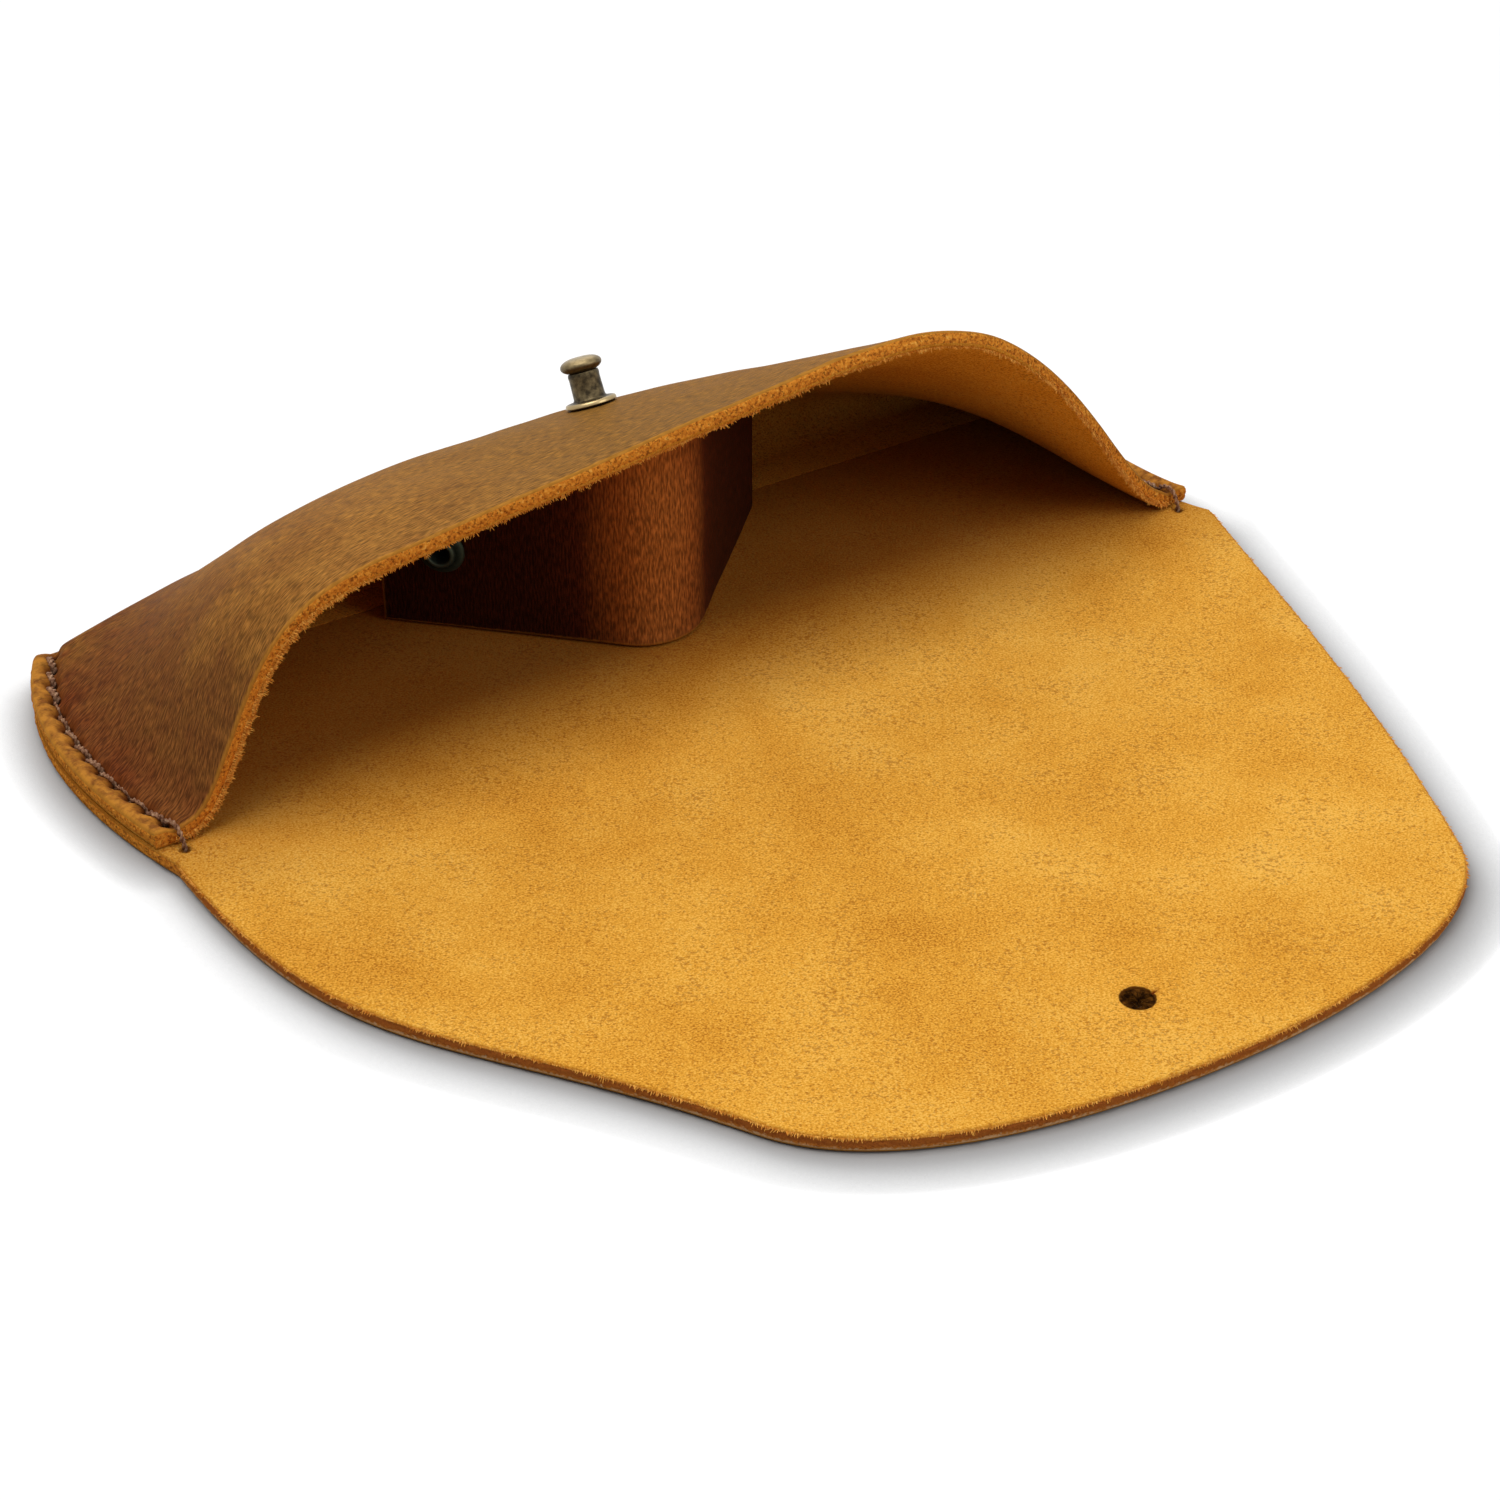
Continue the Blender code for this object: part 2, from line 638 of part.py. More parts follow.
    # Button stud on the slope of the front panel, held by a screw from inside
    t, s = panel_place(0, STUD_Y)
    stud_frame = frame_along(panel_normal(t, s), panel_point(t, s))
    flange_top = GAP + STUD_FLANGE_THICK
    head_base = flange_top + STUD_POST_HEIGHT
    bore = SCREW_SHANK / 2 + GAP
    bore_end = SCREW_REACH + GAP
    head_steps = [math.radians(a) for a in (-60, -30, 0, 30, 60)]
    head_middle = head_base + STUD_HEAD_HEIGHT / 2
    profile = [(bore, GAP), (STUD_FLANGE / 2, GAP), (STUD_FLANGE / 2, flange_top * 0.8)]
    profile += [(STUD_FLANGE / 2 - GAP, flange_top), (STUD_POST / 2, flange_top)]
    profile += [(STUD_POST / 2 - GAP / 3, head_base)]
    for angle in head_steps:
        radius = STUD_HEAD / 2 * math.cos(angle) ** 0.7
        profile.append((radius, head_middle + STUD_HEAD_HEIGHT / 2 * math.sin(angle)))
    profile += [(0, head_base + STUD_HEAD_HEIGHT), (0, bore_end), (bore, bore_end)]
    add_object("button_stud", turned("button_stud", profile), brass, case, stud_frame)
    seat = -HIDE - 2 * GAP
    shank = SCREW_SHANK / 2
    profile = [(0, seat - SCREW_HEAD_HEIGHT), (SCREW_HEAD * 0.36, seat - SCREW_HEAD_HEIGHT)]
    profile += [(SCREW_HEAD / 2, seat - SCREW_HEAD_HEIGHT * 0.4), (SCREW_HEAD / 2, seat)]
    profile += [(shank, seat), (shank, SCREW_REACH - GAP), (0, SCREW_REACH - GAP)]
    stud_screw = add_object("stud_screw", turned("stud_screw", profile), brass, case, stud_frame)
    slot_z = seat - SCREW_HEAD_HEIGHT
    slot = box("screw_slot", (2 * SCREW_HEAD, SCREW_SLOT, 2 * SCREW_SLOT_DEPTH), (0, 0, slot_z))
    cut(stud_screw, cutter("screw_slot_cutter", slot, stud_frame))
    hole = [(0, -3 * HIDE), (bore, -3 * HIDE), (bore, 2 * HIDE), (0, 2 * HIDE)]
    cut(front_panel, cutter("stud_hole_cutter", turned("stud_hole", hole), stud_frame))

    # Nose band and its tubular rivet
    band = NoseBand()
    nose_band = add_object("nose_band", band.mesh("nose_band"), band_hide, case)
    rivet_frame = band.rivet_frame()
    tube = RIVET_TUBE / 2
    rivet_bore = RIVET_BORE / 2
    washer_seat = -(2 * BAND + GAP) - GAP
    washer_end = washer_seat - WASHER_THICK
    lip_end = washer_end - GAP - RIVET_LIP_THICK
    flange_end = GAP + RIVET_FLANGE_THICK
    rim_end = flange_end + RIVET_RIM_HEIGHT
    profile = [(rivet_bore, rim_end), (rivet_bore, lip_end), (RIVET_LIP / 2, lip_end)]
    profile += [(RIVET_LIP / 2, lip_end + RIVET_LIP_THICK), (tube, lip_end + RIVET_LIP_THICK)]
    profile += [(tube, GAP), (RIVET_FLANGE / 2, GAP), (RIVET_FLANGE / 2, flange_end)]
    profile += [(RIVET_RIM / 2, flange_end + GAP / 2), (RIVET_RIM / 2 - GAP, rim_end)]
    add_object("band_rivet", turned("band_rivet", profile), patina, case, rivet_frame)
    profile = [(tube + GAP, washer_seat), (tube + GAP, washer_end)]
    profile += [(RIVET_FLANGE / 2, washer_end), (RIVET_FLANGE / 2, washer_seat)]
    add_object("band_rivet_washer", turned("band_rivet_washer", profile), patina, case, rivet_frame)
    reach = tube + GAP
    hole = [(0, 2 * lip_end), (reach, 2 * lip_end), (reach, 2 * rim_end), (0, 2 * rim_end)]
    cut(nose_band, cutter("rivet_hole_cutter", turned("rivet_hole", hole), rivet_frame))


build()
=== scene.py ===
# %% [markdown]
# # A leather eyeglasses case
#
# The case is cut from one thick hide. Its front bulges to leave room inside, two side seams are sewn with
# waxed thread, a band inside makes a nose form, and a long flap folds over to a button stud. It lies open on
# its back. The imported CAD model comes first: it fixes where each piece sits and how the flap folds.

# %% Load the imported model
import math

import bmesh
import bpy
import numpy as np
from mathutils import Matrix, Vector, geometry, noise


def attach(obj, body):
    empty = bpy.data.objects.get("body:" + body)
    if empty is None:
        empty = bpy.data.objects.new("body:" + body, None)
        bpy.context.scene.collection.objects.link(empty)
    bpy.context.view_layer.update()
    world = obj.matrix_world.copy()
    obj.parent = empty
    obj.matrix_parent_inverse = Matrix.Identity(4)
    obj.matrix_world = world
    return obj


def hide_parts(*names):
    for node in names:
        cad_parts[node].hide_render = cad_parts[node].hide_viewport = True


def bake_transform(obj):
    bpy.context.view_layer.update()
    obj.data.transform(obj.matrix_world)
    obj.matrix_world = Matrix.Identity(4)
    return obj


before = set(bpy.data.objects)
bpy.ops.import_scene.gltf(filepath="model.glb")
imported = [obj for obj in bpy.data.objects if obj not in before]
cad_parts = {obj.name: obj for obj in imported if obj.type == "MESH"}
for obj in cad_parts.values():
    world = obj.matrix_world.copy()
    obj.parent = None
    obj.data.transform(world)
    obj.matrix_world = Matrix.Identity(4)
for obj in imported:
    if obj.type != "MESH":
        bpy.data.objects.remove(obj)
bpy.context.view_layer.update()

MM = 0.001
scene = bpy.context.scene


def add_object(name, data):
    """Puts a mesh, a lamp or a camera in the scene."""
    thing = bpy.data.objects.new(name, data)
    scene.collection.objects.link(thing)
    return thing


# %% [markdown]
# ## Camera
#
# A product photo is taken with a long lens, so that the near edge isn't blown up. A 72 mm lens on a 36 mm
# sensor is that kind of view. The camera stands in front of the flap's left side and looks down on it.

# %% Camera
camera_data = bpy.data.cameras.new("camera")
camera_data.sensor_width = 36
camera_data.lens = 72
camera = add_object("camera", camera_data)
camera.location = (-0.19063, -0.30091, 0.22378)
camera.rotation_euler = [math.radians(turn) for turn in (56.344, 0, -32.911)]
scene.camera = camera
scene.view_settings.view_transform = "Standard"
print("camera height in mm:", round(camera.location.z / MM))

# %% [markdown]
# ## Helpers for colours and nodes
#
# A material is a small graph of nodes. One function adds a node, sets its options and fills its inputs, and
# hands back the output to plug in further on. Colours are written as sRGB hex, as a colour picker gives them,
# and turned to the linear numbers that the renderer works with. Pattern scales come from millimetres. Most
# finishes are a first colour with others laid over it, each where a noise or a value stored on the mesh says.

# %% Colour and node helpers
def linear(hex_colour):
    """Linear RGBA of an sRGB hex colour."""
    parts = [int(hex_colour[i:i + 2], 16) / 255 for i in (1, 3, 5)]
    return tuple(c / 12.92 if c <= 0.04045 else ((c + 0.055) / 1.055) ** 2.4 for c in parts) + (1.0,)


def fill(tree, node, inputs):
    """Sets or links a node's inputs, found by identifier or name."""
    for key, value in inputs.items():
        socket = next(s for s in node.inputs if key in (s.identifier, s.name))
        if isinstance(value, bpy.types.NodeSocket):
            tree.links.new(value, socket)
        else:
            socket.default_value = value


def add_node(tree, kind, inputs=None, out=None, stops=(), **settings):
    """Adds a node and returns one of its outputs, the first unless out names another."""
    node = tree.nodes.new(kind)
    for key, value in settings.items():
        setattr(node, key, value)
    fill(tree, node, inputs or {})
    for k, (place, colour) in enumerate(stops):
        element = node.color_ramp.elements[k] if k < 2 else node.color_ramp.elements.new(place)
        element.position = place
        element.color = linear(colour)
    return next(s for s in node.outputs if out in (None, s.identifier, s.name))


def new_material(name):
    """Empty node material, with its tree and its surface shader."""
    material = bpy.data.materials.new(name)
    material.use_nodes = True
    return material, material.node_tree, material.node_tree.nodes["Principled BSDF"]


def per_mm(size):
    """Texture scale at which one cell of a pattern is this many millimetres."""
    return 1 / (size * MM)


def layered(tree, colour, layers):
    """Lays colours over a first one, each by its share from 0 to 1."""
    for share, over in layers:
        colour = add_node(tree, inputs={"Factor_Float": share, "A_Color": colour, "B_Color": linear(over)},
                          **COLOUR_MIX)
    return colour


# What many nodes share
NOISE = {"Detail": 3.0, "Roughness": 0.6}
COLOUR_MIX = {"kind": "ShaderNodeMix", "out": "Result_Color", "data_type": "RGBA"}
STORED = {"kind": "ShaderNodeAttribute", "out": "Fac"}
PRODUCT = {"kind": "ShaderNodeMath", "operation": "MULTIPLY"}
SUM = {"kind": "ShaderNodeMath", "operation": "MULTIPLY_ADD"}  # a value times a factor, plus another value


print("mustard in linear:", [round(c, 3) for c in linear("#dd9936")])

# %% [markdown]
# ## Floor and light
#
# The case lies on a white sweep. One large soft box hangs above it, so the inside of the pouch stays dark. A
# weaker one stands in front to the right and another behind, with dim pale walls all round, which are the
# world's colour. What the camera sees of the floor is lifted to white by a little glow of its own. An ambient
# occlusion node takes that glow away close to the leather, so the soft shadow by the edges stays. The node
# looks up and backwards, where most of the light comes from, so the shadow falls towards the front.

# %% Floor, soft boxes and world
FLOOR_SIDE = 6.0
FLOOR_DROP = 0.2 * MM
AMBIENT = 0.18
FLOOR_LIFT = 0.66
SHADOW_REACH = 7 * MM
SHADOW_DEPTH = 6.0
LIGHT_SIDE = (-0.10, 0.65, 0.75)


def seen_rays(tree):
    """1 for rays that show the background itself: straight, mirrored or passed on."""
    straight = add_node(tree, "ShaderNodeLightPath", out="Is Camera Ray")
    rays = straight.node.outputs
    found = add_node(tree, "ShaderNodeMath", {"Value": straight, "Value_001": rays["Is Glossy Ray"]},
                     operation="MAXIMUM")
    return add_node(tree, "ShaderNodeMath", {"Value": found, "Value_001": rays["Is Transmission Ray"]},
                    operation="MAXIMUM")


half = FLOOR_SIDE / 2
floor_mesh = bpy.data.meshes.new("floor")
floor_corners = [(-half, -half), (half, -half), (half, half), (-half, half)]
floor_mesh.from_pydata([(x, y, -FLOOR_DROP) for x, y in floor_corners], [], [(0, 1, 2, 3)])
floor = add_object("floor", floor_mesh)
floor_paper, tree, shader = new_material("white paper sweep")
lit_side = add_node(tree, "ShaderNodeCombineXYZ", dict(zip("XYZ", LIGHT_SIDE)))
openness = add_node(tree, "ShaderNodeAmbientOcclusion", {"Distance": SHADOW_REACH, "Normal": lit_side},
                    out="AO")
openness = add_node(tree, "ShaderNodeMath", {"Value": openness, "Value_001": SHADOW_DEPTH}, operation="POWER")
lift = add_node(tree, inputs={"Value": openness, "Value_001": FLOOR_LIFT}, **PRODUCT)
strength = add_node(tree, inputs={"Value": seen_rays(tree), "Value_001": lift}, **PRODUCT)
fill(tree, shader, {
    "Base Color": linear("#a8a8a8"), "Roughness": 0.9, "Specular IOR Level": 0.0,
    "Emission Color": linear("#ffffff"), "Emission Strength": strength,
})
floor_mesh.materials.append(floor_paper)

world = bpy.data.worlds.new("pale studio")
world.use_nodes = True
scene.world = world
tree = world.node_tree
level = add_node(tree, "ShaderNodeMapRange", {"Value": seen_rays(tree), "To Min": AMBIENT, "To Max": 1.0})
fill(tree, tree.nodes["Background"], {"Color": linear("#ffffff"), "Strength": level})


def soft_box(name, place, target, side, watts):
    """Square area lamp that faces a point."""
    data = bpy.data.lights.new(name, "AREA")
    data.size = side
    data.energy = watts
    lamp = add_object(name, data)
    lamp.location = place
    lamp.rotation_euler = (Vector(target) - Vector(place)).to_track_quat("-Z", "Y").to_euler()


soft_box("soft box above", (-0.28, 0.05, 0.92), (0, -0.02, 0), 0.8, 7.3)
soft_box("weaker soft box in front", (0.45, -0.72, 0.62), (0, -0.02, 0), 0.6, 3.0)
soft_box("weaker soft box behind", (0.25, 0.70, 0.60), (0, -0.02, 0), 0.6, 1.8)

# %% [markdown]
# ## The hide's outline
#
# Back, bottom fold, front and flap are one cut of leather about 2.2 mm thick. Seen flat, each side of the cut
# is three curves in a row: pouch side, flap side and tip. It is cut by eye, so its sides differ: the left one
# bows out and has a full shoulder above a hollow. Bézier curves hold this in a few handles, in millimetres.

# %% The hide's outline
HIDE = 2.2 * MM
FOLD_END_Y = 50.3
POUCH_PULL_YS = (32.0, 9.0)
NECK = (84.5, -4.0)
SIDES = {
    -1: {"fold": 81.5, "pouch": (92.5, 88.2), "flap": [(84.8, -49.7), (71.1, -48.8)], "corner": (50.1, -85.3),
         "tip_pull": 15.2},
    1: {"fold": 78.5, "pouch": (83.0, 77.5), "flap": [(75.6, -32.4), (67.8, -59.7)], "corner": (54.4, -88.6),
        "tip_pull": 15.7},
}
CORNER_PULL = 17.0
TIP = (8.3, -104.9)


def along_path(points):
    """Length from the start of a path to each of its points."""
    return np.r_[0, np.cumsum(np.linalg.norm(np.diff(points, axis=0), axis=1))]


def unit(vectors):
    """Vectors brought to length 1."""
    return vectors / np.linalg.norm(vectors, axis=-1, keepdims=True)


def bezier(points, s):
    """Points of a cubic curve at s, an array from 0 to 1."""
    a, b, c, d = (np.array(p, float) for p in points)
    s = np.asarray(s, float)[..., None]
    r = 1 - s
    return r**3 * a + 3 * r**2 * s * b + 3 * r * s**2 * c + s**3 * d


def side_outline(side):
    """One side of the outline from the bottom fold to the tip, x counted outwards, in metres."""
    cut = SIDES[side]
    corner = np.array(cut["corner"])
    run = corner - np.array(cut["flap"][1])
    into_tip = corner + run / np.linalg.norm(run) * CORNER_PULL
    tip = (side * TIP[0], TIP[1])
    curves = [
        [(cut["fold"], FOLD_END_Y), *zip(cut["pouch"], POUCH_PULL_YS), NECK],
        [NECK, *cut["flap"], corner],
        [corner, into_tip, (cut["tip_pull"], TIP[1]), tip],
    ]
    steps = np.linspace(0, 1, 80)
    return np.concatenate([bezier(curve, steps)[:-1] for curve in curves] + [[tip]]) * MM


OUTLINE = {side: side_outline(side) for side in (-1, 1)}


def half_width(y, side):
    """Distance from the middle to the edge, on the left where side is below 0."""
    left, right = (np.interp(-np.asarray(y), -OUTLINE[k][:, 1], OUTLINE[k][:, 0]) for k in (-1, 1))
    return np.where(np.asarray(side) < 0, left, right)


print("width at the mouth in mm:", round(float(half_width(0, -1) + half_width(0, 1)) / MM, 1))

# %% [markdown]
# ## The front panel's surface
#
# The front is the same hide folded over from the back. It lies flat along the two seams and swells between
# them: a high arch at the mouth, a long slope, and a roll round the bottom fold. One formula gives it. A
# section at the seams and a section down the middle are mixed by a swell that is 0 at the seams and 1 in the
# middle. t runs from the left seam (-1) to the right (1), s from the mouth (0) over the fold (1) and under
# the pouch (3).

# %% The front panel's surface
LAP_GAP = 0.5 * MM
END_RADIUS = HIDE + LAP_GAP / 2
FLAT_SHARE = 0.7
BUTT_Y = 38.75 * MM
MARGIN = 3.2 * MM
MIDDLE = [(0, 2 * END_RADIUS / MM + 36.3), (20.0, 33.0), (56.0, 20.0), (56.0, 9.5)]
FOLD_UNDERCUT = 12.0 * MM
MOUTH_LEAN = 0.31
MOUTH_SWELL = {-1: (14.0, 3.8), 1: (4.0, 1.8)}
FOLD_SWELL = (1.4, 0.9)


def end_section(s):
    """Section along the seams: flat, then a tight turn."""
    flat_y = FOLD_END_Y * MM - END_RADIUS
    turn = np.radians(90) * np.where(s < 1, (s - FLAT_SHARE) / (1 - FLAT_SHARE), s)
    where = [s <= FLAT_SHARE, s <= 2]
    y = np.select(where, [flat_y * s / FLAT_SHARE, flat_y + END_RADIUS * np.sin(turn)],
                  flat_y + (BUTT_Y - flat_y) * (s - 2))
    z = np.select(where, [2 * END_RADIUS + 0 * s, END_RADIUS * (1 + np.cos(turn))], 0 * s)
    return y, z


def middle_section(s):
    """Section down the middle: a long slope that rolls over the fold."""
    slope = bezier(MIDDLE, np.clip(s, 0, 1)) * MM
    fold_y, fold_z = np.array(MIDDLE[3]) * MM
    roll_y = fold_y - FOLD_UNDERCUT
    turn = np.radians(90) * (s - 1)
    where = [s <= 1, s <= 2]
    y = np.select(where, [slope[..., 0], roll_y + FOLD_UNDERCUT * np.cos(turn)],
                  roll_y + (BUTT_Y - roll_y) * (s - 2))
    z = np.select(where, [slope[..., 1], fold_z * (1 - np.sin(turn))], 0 * s)
    return y, z


def swell(t, s, width):
    """Share of the bulge."""
    reach = np.minimum(1, np.abs(t) * width / (width - MARGIN))
    along = np.minimum(1, s / FLAT_SHARE)
    powers = [np.where(t < 0, MOUTH_SWELL[-1][k], MOUTH_SWELL[1][k]) for k in (0, 1)]
    fullness, flare = (p + (f - p) * along for p, f in zip(powers, FOLD_SWELL))
    return (1 - reach**fullness) ** flare


def panel_point(t, s):
    """Points on the outside of the front panel."""
    t, s = np.broadcast_arrays(np.asarray(t, float), np.asarray(s, float))
    end_y, end_z = end_section(s)
    middle_y, middle_z = middle_section(s)
    width = half_width(end_y, t)
    share = swell(t, s, width)
    lean = 1 + MOUTH_LEAN * t * np.maximum(0, 1 - s / FLAT_SHARE)
    y = end_y + (middle_y - end_y) * share
    z = end_z + (middle_z - end_z) * share * lean
    return np.stack([t * width, y, z], axis=-1)


def panel_normal(t, s):
    """Outward directions of the front panel."""
    small = 1e-4
    across = panel_point(np.minimum(1, t + small), s) - panel_point(np.maximum(-1, t - small), s)
    down = panel_point(t, np.minimum(3, s + small)) - panel_point(t, np.maximum(0, s - small))
    return unit(np.cross(across, down))


def panel_place(x, y):
    """The t and s of the slope above a plan point."""
    t = x / half_width(y, x)
    steps = np.linspace(0, 1, 120)
    return t, np.interp(y, panel_point(t, steps)[:, 1], steps)


crest = panel_point(np.linspace(-1, 1, 400), 0)[:, 2].max()
print("top of the mouth in mm:", round(crest / MM, 1))

# %% [markdown]
# ## From a surface to a sheet of leather
#
# Thick leather has two skins and a cut edge. A Solidify modifier could give thickness, but not the softened
# corners or the rough wall of a knife cut. So one function takes any surface and makes both skins, sinks each
# of them near a free edge in a small round, and joins them by a wall with its own rows. It also stores what
# the materials ask for: the distance to the edge, the depth through the cut and the place before any bend.

# %% Leather sheet builder
EDGE_STEPS = np.array([0, 0.06, 0.14, 0.24, 0.38, 0.65, 1.0]) * MM
EDGE_ROUND = 0.38 * MM
WALL_ROWS = 8
CUT_BULGE = 0.10 * MM
CUT_ROUGH = 0.13 * MM


def rough(point, size):
    """Smooth noise from -1 to 1 with bumps of this size."""
    return noise.noise(Vector(point) / size)


def rise(values, start, run):
    """0 up to a start, then rising to 1 over a run."""
    return np.clip((values - start) / run, 0, 1)


def leather_sheet(name, points, normals, faces, rim, thick, uv, marks, materials, dents=(0, 0),
                  rounding=EDGE_ROUND):
    """Closed sheet whose outer skin is the grain; faces run anticlockwise seen from outside."""
    count = len(points)
    inside = np.clip(rounding - rim, 0, rounding)
    sink = rounding - np.sqrt(rounding**2 - inside**2)
    grain = points - normals * (sink + dents[0])[:, None]
    flesh = points - normals * (thick - sink - dents[1])[:, None]
    edges = {pair for face in faces for pair in zip(face, face[1:] + face[:1])}
    border = [(a, b) for a, b in edges if (b, a) not in edges]
    border.sort()
    out = {}
    for a, b in border:
        step = np.cross(points[b] - points[a], normals[a])
        for end in (a, b):
            out[end] = out.get(end, 0) + step
    wall_points = []
    row_of = {}
    for v, step in out.items():
        row_of[v] = 2 * count + len(wall_points)
        step = step / np.linalg.norm(step) * (rim[v] == 0)
        for row in range(1, WALL_ROWS):
            depth = row / WALL_ROWS
            place = grain[v] + (flesh[v] - grain[v]) * depth
            push = CUT_BULGE * math.sin(math.pi * depth) ** 0.5
            push += CUT_ROUGH * (rough(place, 0.45 * MM) + rough(place, 1.6 * MM))
            wall_points.append(place + step * push)

    def wall(v, row):
        """Index of the point in a row of the wall, counted from the grain."""
        if row == 0:
            return v
        return v + count if row == WALL_ROWS else row_of[v] + row - 1

    rows = [(b, a, row) for a, b in border for row in range(WALL_ROWS)]
    wall_faces = [[wall(b, r), wall(a, r), wall(a, r + 1), wall(b, r + 1)] for b, a, r in rows]
    flesh_faces = [[v + count for v in reversed(face)] for face in faces]
    mesh = bpy.data.meshes.new(name)
    everything = np.concatenate([grain, flesh, np.array(wall_points)])
    mesh.from_pydata(everything.tolist(), [], faces + flesh_faces + wall_faces)
    for material in materials:
        mesh.materials.append(material)
    kinds = [0] * len(faces) + [1] * len(faces) + [2] * len(wall_faces)
    mesh.polygons.foreach_set("material_index", kinds)
    owners = np.repeat(list(out), WALL_ROWS - 1)
    depth = np.concatenate([np.zeros(count), np.ones(count),
                            np.tile(np.arange(1, WALL_ROWS) / WALL_ROWS, len(out))])
    for key, values in {**marks, "rim": rim, "depth": depth}.items():
        if len(values) == count:
            values = np.concatenate([values, values, values[owners]])
        mesh.attributes.new(key, "FLOAT", "POINT").data.foreach_set("value", values.astype(np.float32))
    rest = mesh.attributes.new("rest", "FLOAT_VECTOR", "POINT")
    rest.data.foreach_set("vector", everything.astype(np.float32).ravel())
    corner_vertex = np.zeros(len(mesh.loops), int)
    mesh.loops.foreach_get("vertex_index", corner_vertex)
    all_uv = np.concatenate([uv, uv, uv[owners]])
    mesh.uv_layers.new(name="hide").data.foreach_set("uv", all_uv[corner_vertex].astype(np.float32).ravel())
    mesh.shade_smooth()
    mesh.set_sharp_from_angle(angle=math.radians(50))
    mesh.validate()
    piece = add_object(name, mesh)
    print(name, "triangles:", sum(len(p.vertices) - 2 for p in mesh.polygons))
    return piece


# %% [markdown]
# ## Finish: flesh side
#
# The flesh side is the inside of the hide, oiled and left as a short velvety nap, mustard in colour. Seen
# close, it is full of tiny brown gaps where the nap parts, a little longer one way, and gathered in soft
# patches. It has no gloss, only a faint sheen. One noise about a quarter of a millimetre wide is the nap,
# another makes the gaps, and two wider ones the patches. Inside the pouch a painted shade darkens it, a
# little of it reaching down the flap towards the mouth, and round the holes it is painted dark as the shade
# in them. Real fibres are finer, about 0.05 mm, so the nap is drawn coarser to show.

# %% Flesh side material
NAP_SIZE = 0.24
NAP_STRETCH = 1.2
NAP_TURN = math.radians(-33)
GAP_SIZE = 1.7 * NAP_SIZE


def napped_flesh(name, ramp, gap_colour):
    """Velvety flesh side; ramp runs from the foot of the nap to its tips."""
    material, tree, shader = new_material(name)
    shade, rim, hole = (add_node(tree, **STORED, attribute_name=key) for key in ("shade", "rim", "hole"))
    rest = add_node(tree, "ShaderNodeAttribute", out="Vector", attribute_name="rest")
    turned_way = {"Vector": rest, "Rotation": (0, 0, NAP_TURN), "Scale": (NAP_STRETCH, 1.0, 1.0)}
    combed = add_node(tree, "ShaderNodeMapping", turned_way, vector_type="TEXTURE")
    patterns = [(combed, NAP_SIZE, 2.0), (combed, GAP_SIZE, 3.0), (rest, 9, 4.0), (rest, 30, 3.0),
                (rest, 0.8, 3.0), (rest, 0.5, 3.0)]
    nap, parting, patches, clouds, edge_wear, hole_shade_noise = (
        add_node(tree, "ShaderNodeTexNoise",
                 {**NOISE, "Vector": way, "Scale": per_mm(size), "Detail": detail})
        for way, size, detail in patterns)
    level = add_node(tree, inputs={"Value": clouds, "Value_001": 0.45, "Value_002": nap}, **SUM)
    level = add_node(tree, inputs={"Value": patches, "Value_001": 0.25, "Value_002": level}, **SUM)
    tone = add_node(tree, "ShaderNodeValToRGB", {"Fac": level}, stops=ramp)
    gaps = add_node(tree, inputs={"Value": patches, "Value_001": 0.35, "Value_002": parting}, **SUM)
    gaps = add_node(tree, "ShaderNodeMapRange",
                    {"Value": gaps, "From Min": 0.72, "From Max": 0.84, "To Max": 0.55})
    reach = add_node(tree, inputs={"Value": edge_wear, "Value_001": -0.9 * MM, "Value_002": rim}, **SUM)
    near_edge = add_node(tree, "ShaderNodeMapRange", {"Value": reach, "From Min": -0.5 * MM, "From Max": 0.0,
                                                      "To Min": 0.6, "To Max": 0.0})
    # Round the holes the nap is painted dark brown, as the shade in the hole; a noise rags its edge.
    hole_shade = add_node(tree, inputs={"Value": hole_shade_noise, "Value_001": 1.0, "Value_002": hole}, **SUM)
    hole_shade = add_node(tree, "ShaderNodeMapRange",
                    {"Value": hole_shade, "From Min": 0.85, "From Max": 1.15, "To Max": 0.9})
    foot = ramp[0][1]
    # The shade mark lays a painted shade, the deep red-brown #6e2a06, over the nap.
    colour = layered(tree, tone,
                     [(gaps, gap_colour), (shade, "#6e2a06"), (near_edge, foot), (hole_shade, "#4a2409")])
    bump = add_node(tree, "ShaderNodeBump", {"Height": nap, "Strength": 0.55, "Distance": 0.18 * MM})
    fill(tree, shader, {"Base Color": colour, "Roughness": 0.95, "Specular IOR Level": 0.03,
                        "Sheen Weight": 0.03, "Sheen Roughness": 0.5, "Sheen Tint": linear("#e8b860"),
                        "Normal": bump})
    return material


flesh_side = napped_flesh(
    "oiled leather, napped flesh side",
    [(0.60, "#ac671c"), (0.75, "#da9630"), (0.88, "#e8a83e"), (1.0, "#f4bc56")], "#944f14")
print("material:", flesh_side.name, "nodes:", len(flesh_side.node_tree.nodes))

# %% [markdown]
# ## Finish: grain side
#
# The grain side is pull-up leather: brown, waxed, and paler where it is stretched or rubbed, since the oils
# move away there. It is full of short fine wrinkles that run along the hide, reddish dark by the seams, olive
# over the crown, and golden on the margins and round the bottom fold. The sheet's marks say where each of
# these is. The wrinkles are noise squeezed six to one along the UV map, laid over the tone so that they
# darken and lighten it.

# %% Grain side material
WRINKLE_SIZE = 0.26
WRINKLE_STRETCH = 6.0
GRAIN_MARKS = ("stretch_and_light", "olive", "bend", "seam", "margin", "rim", "hole")


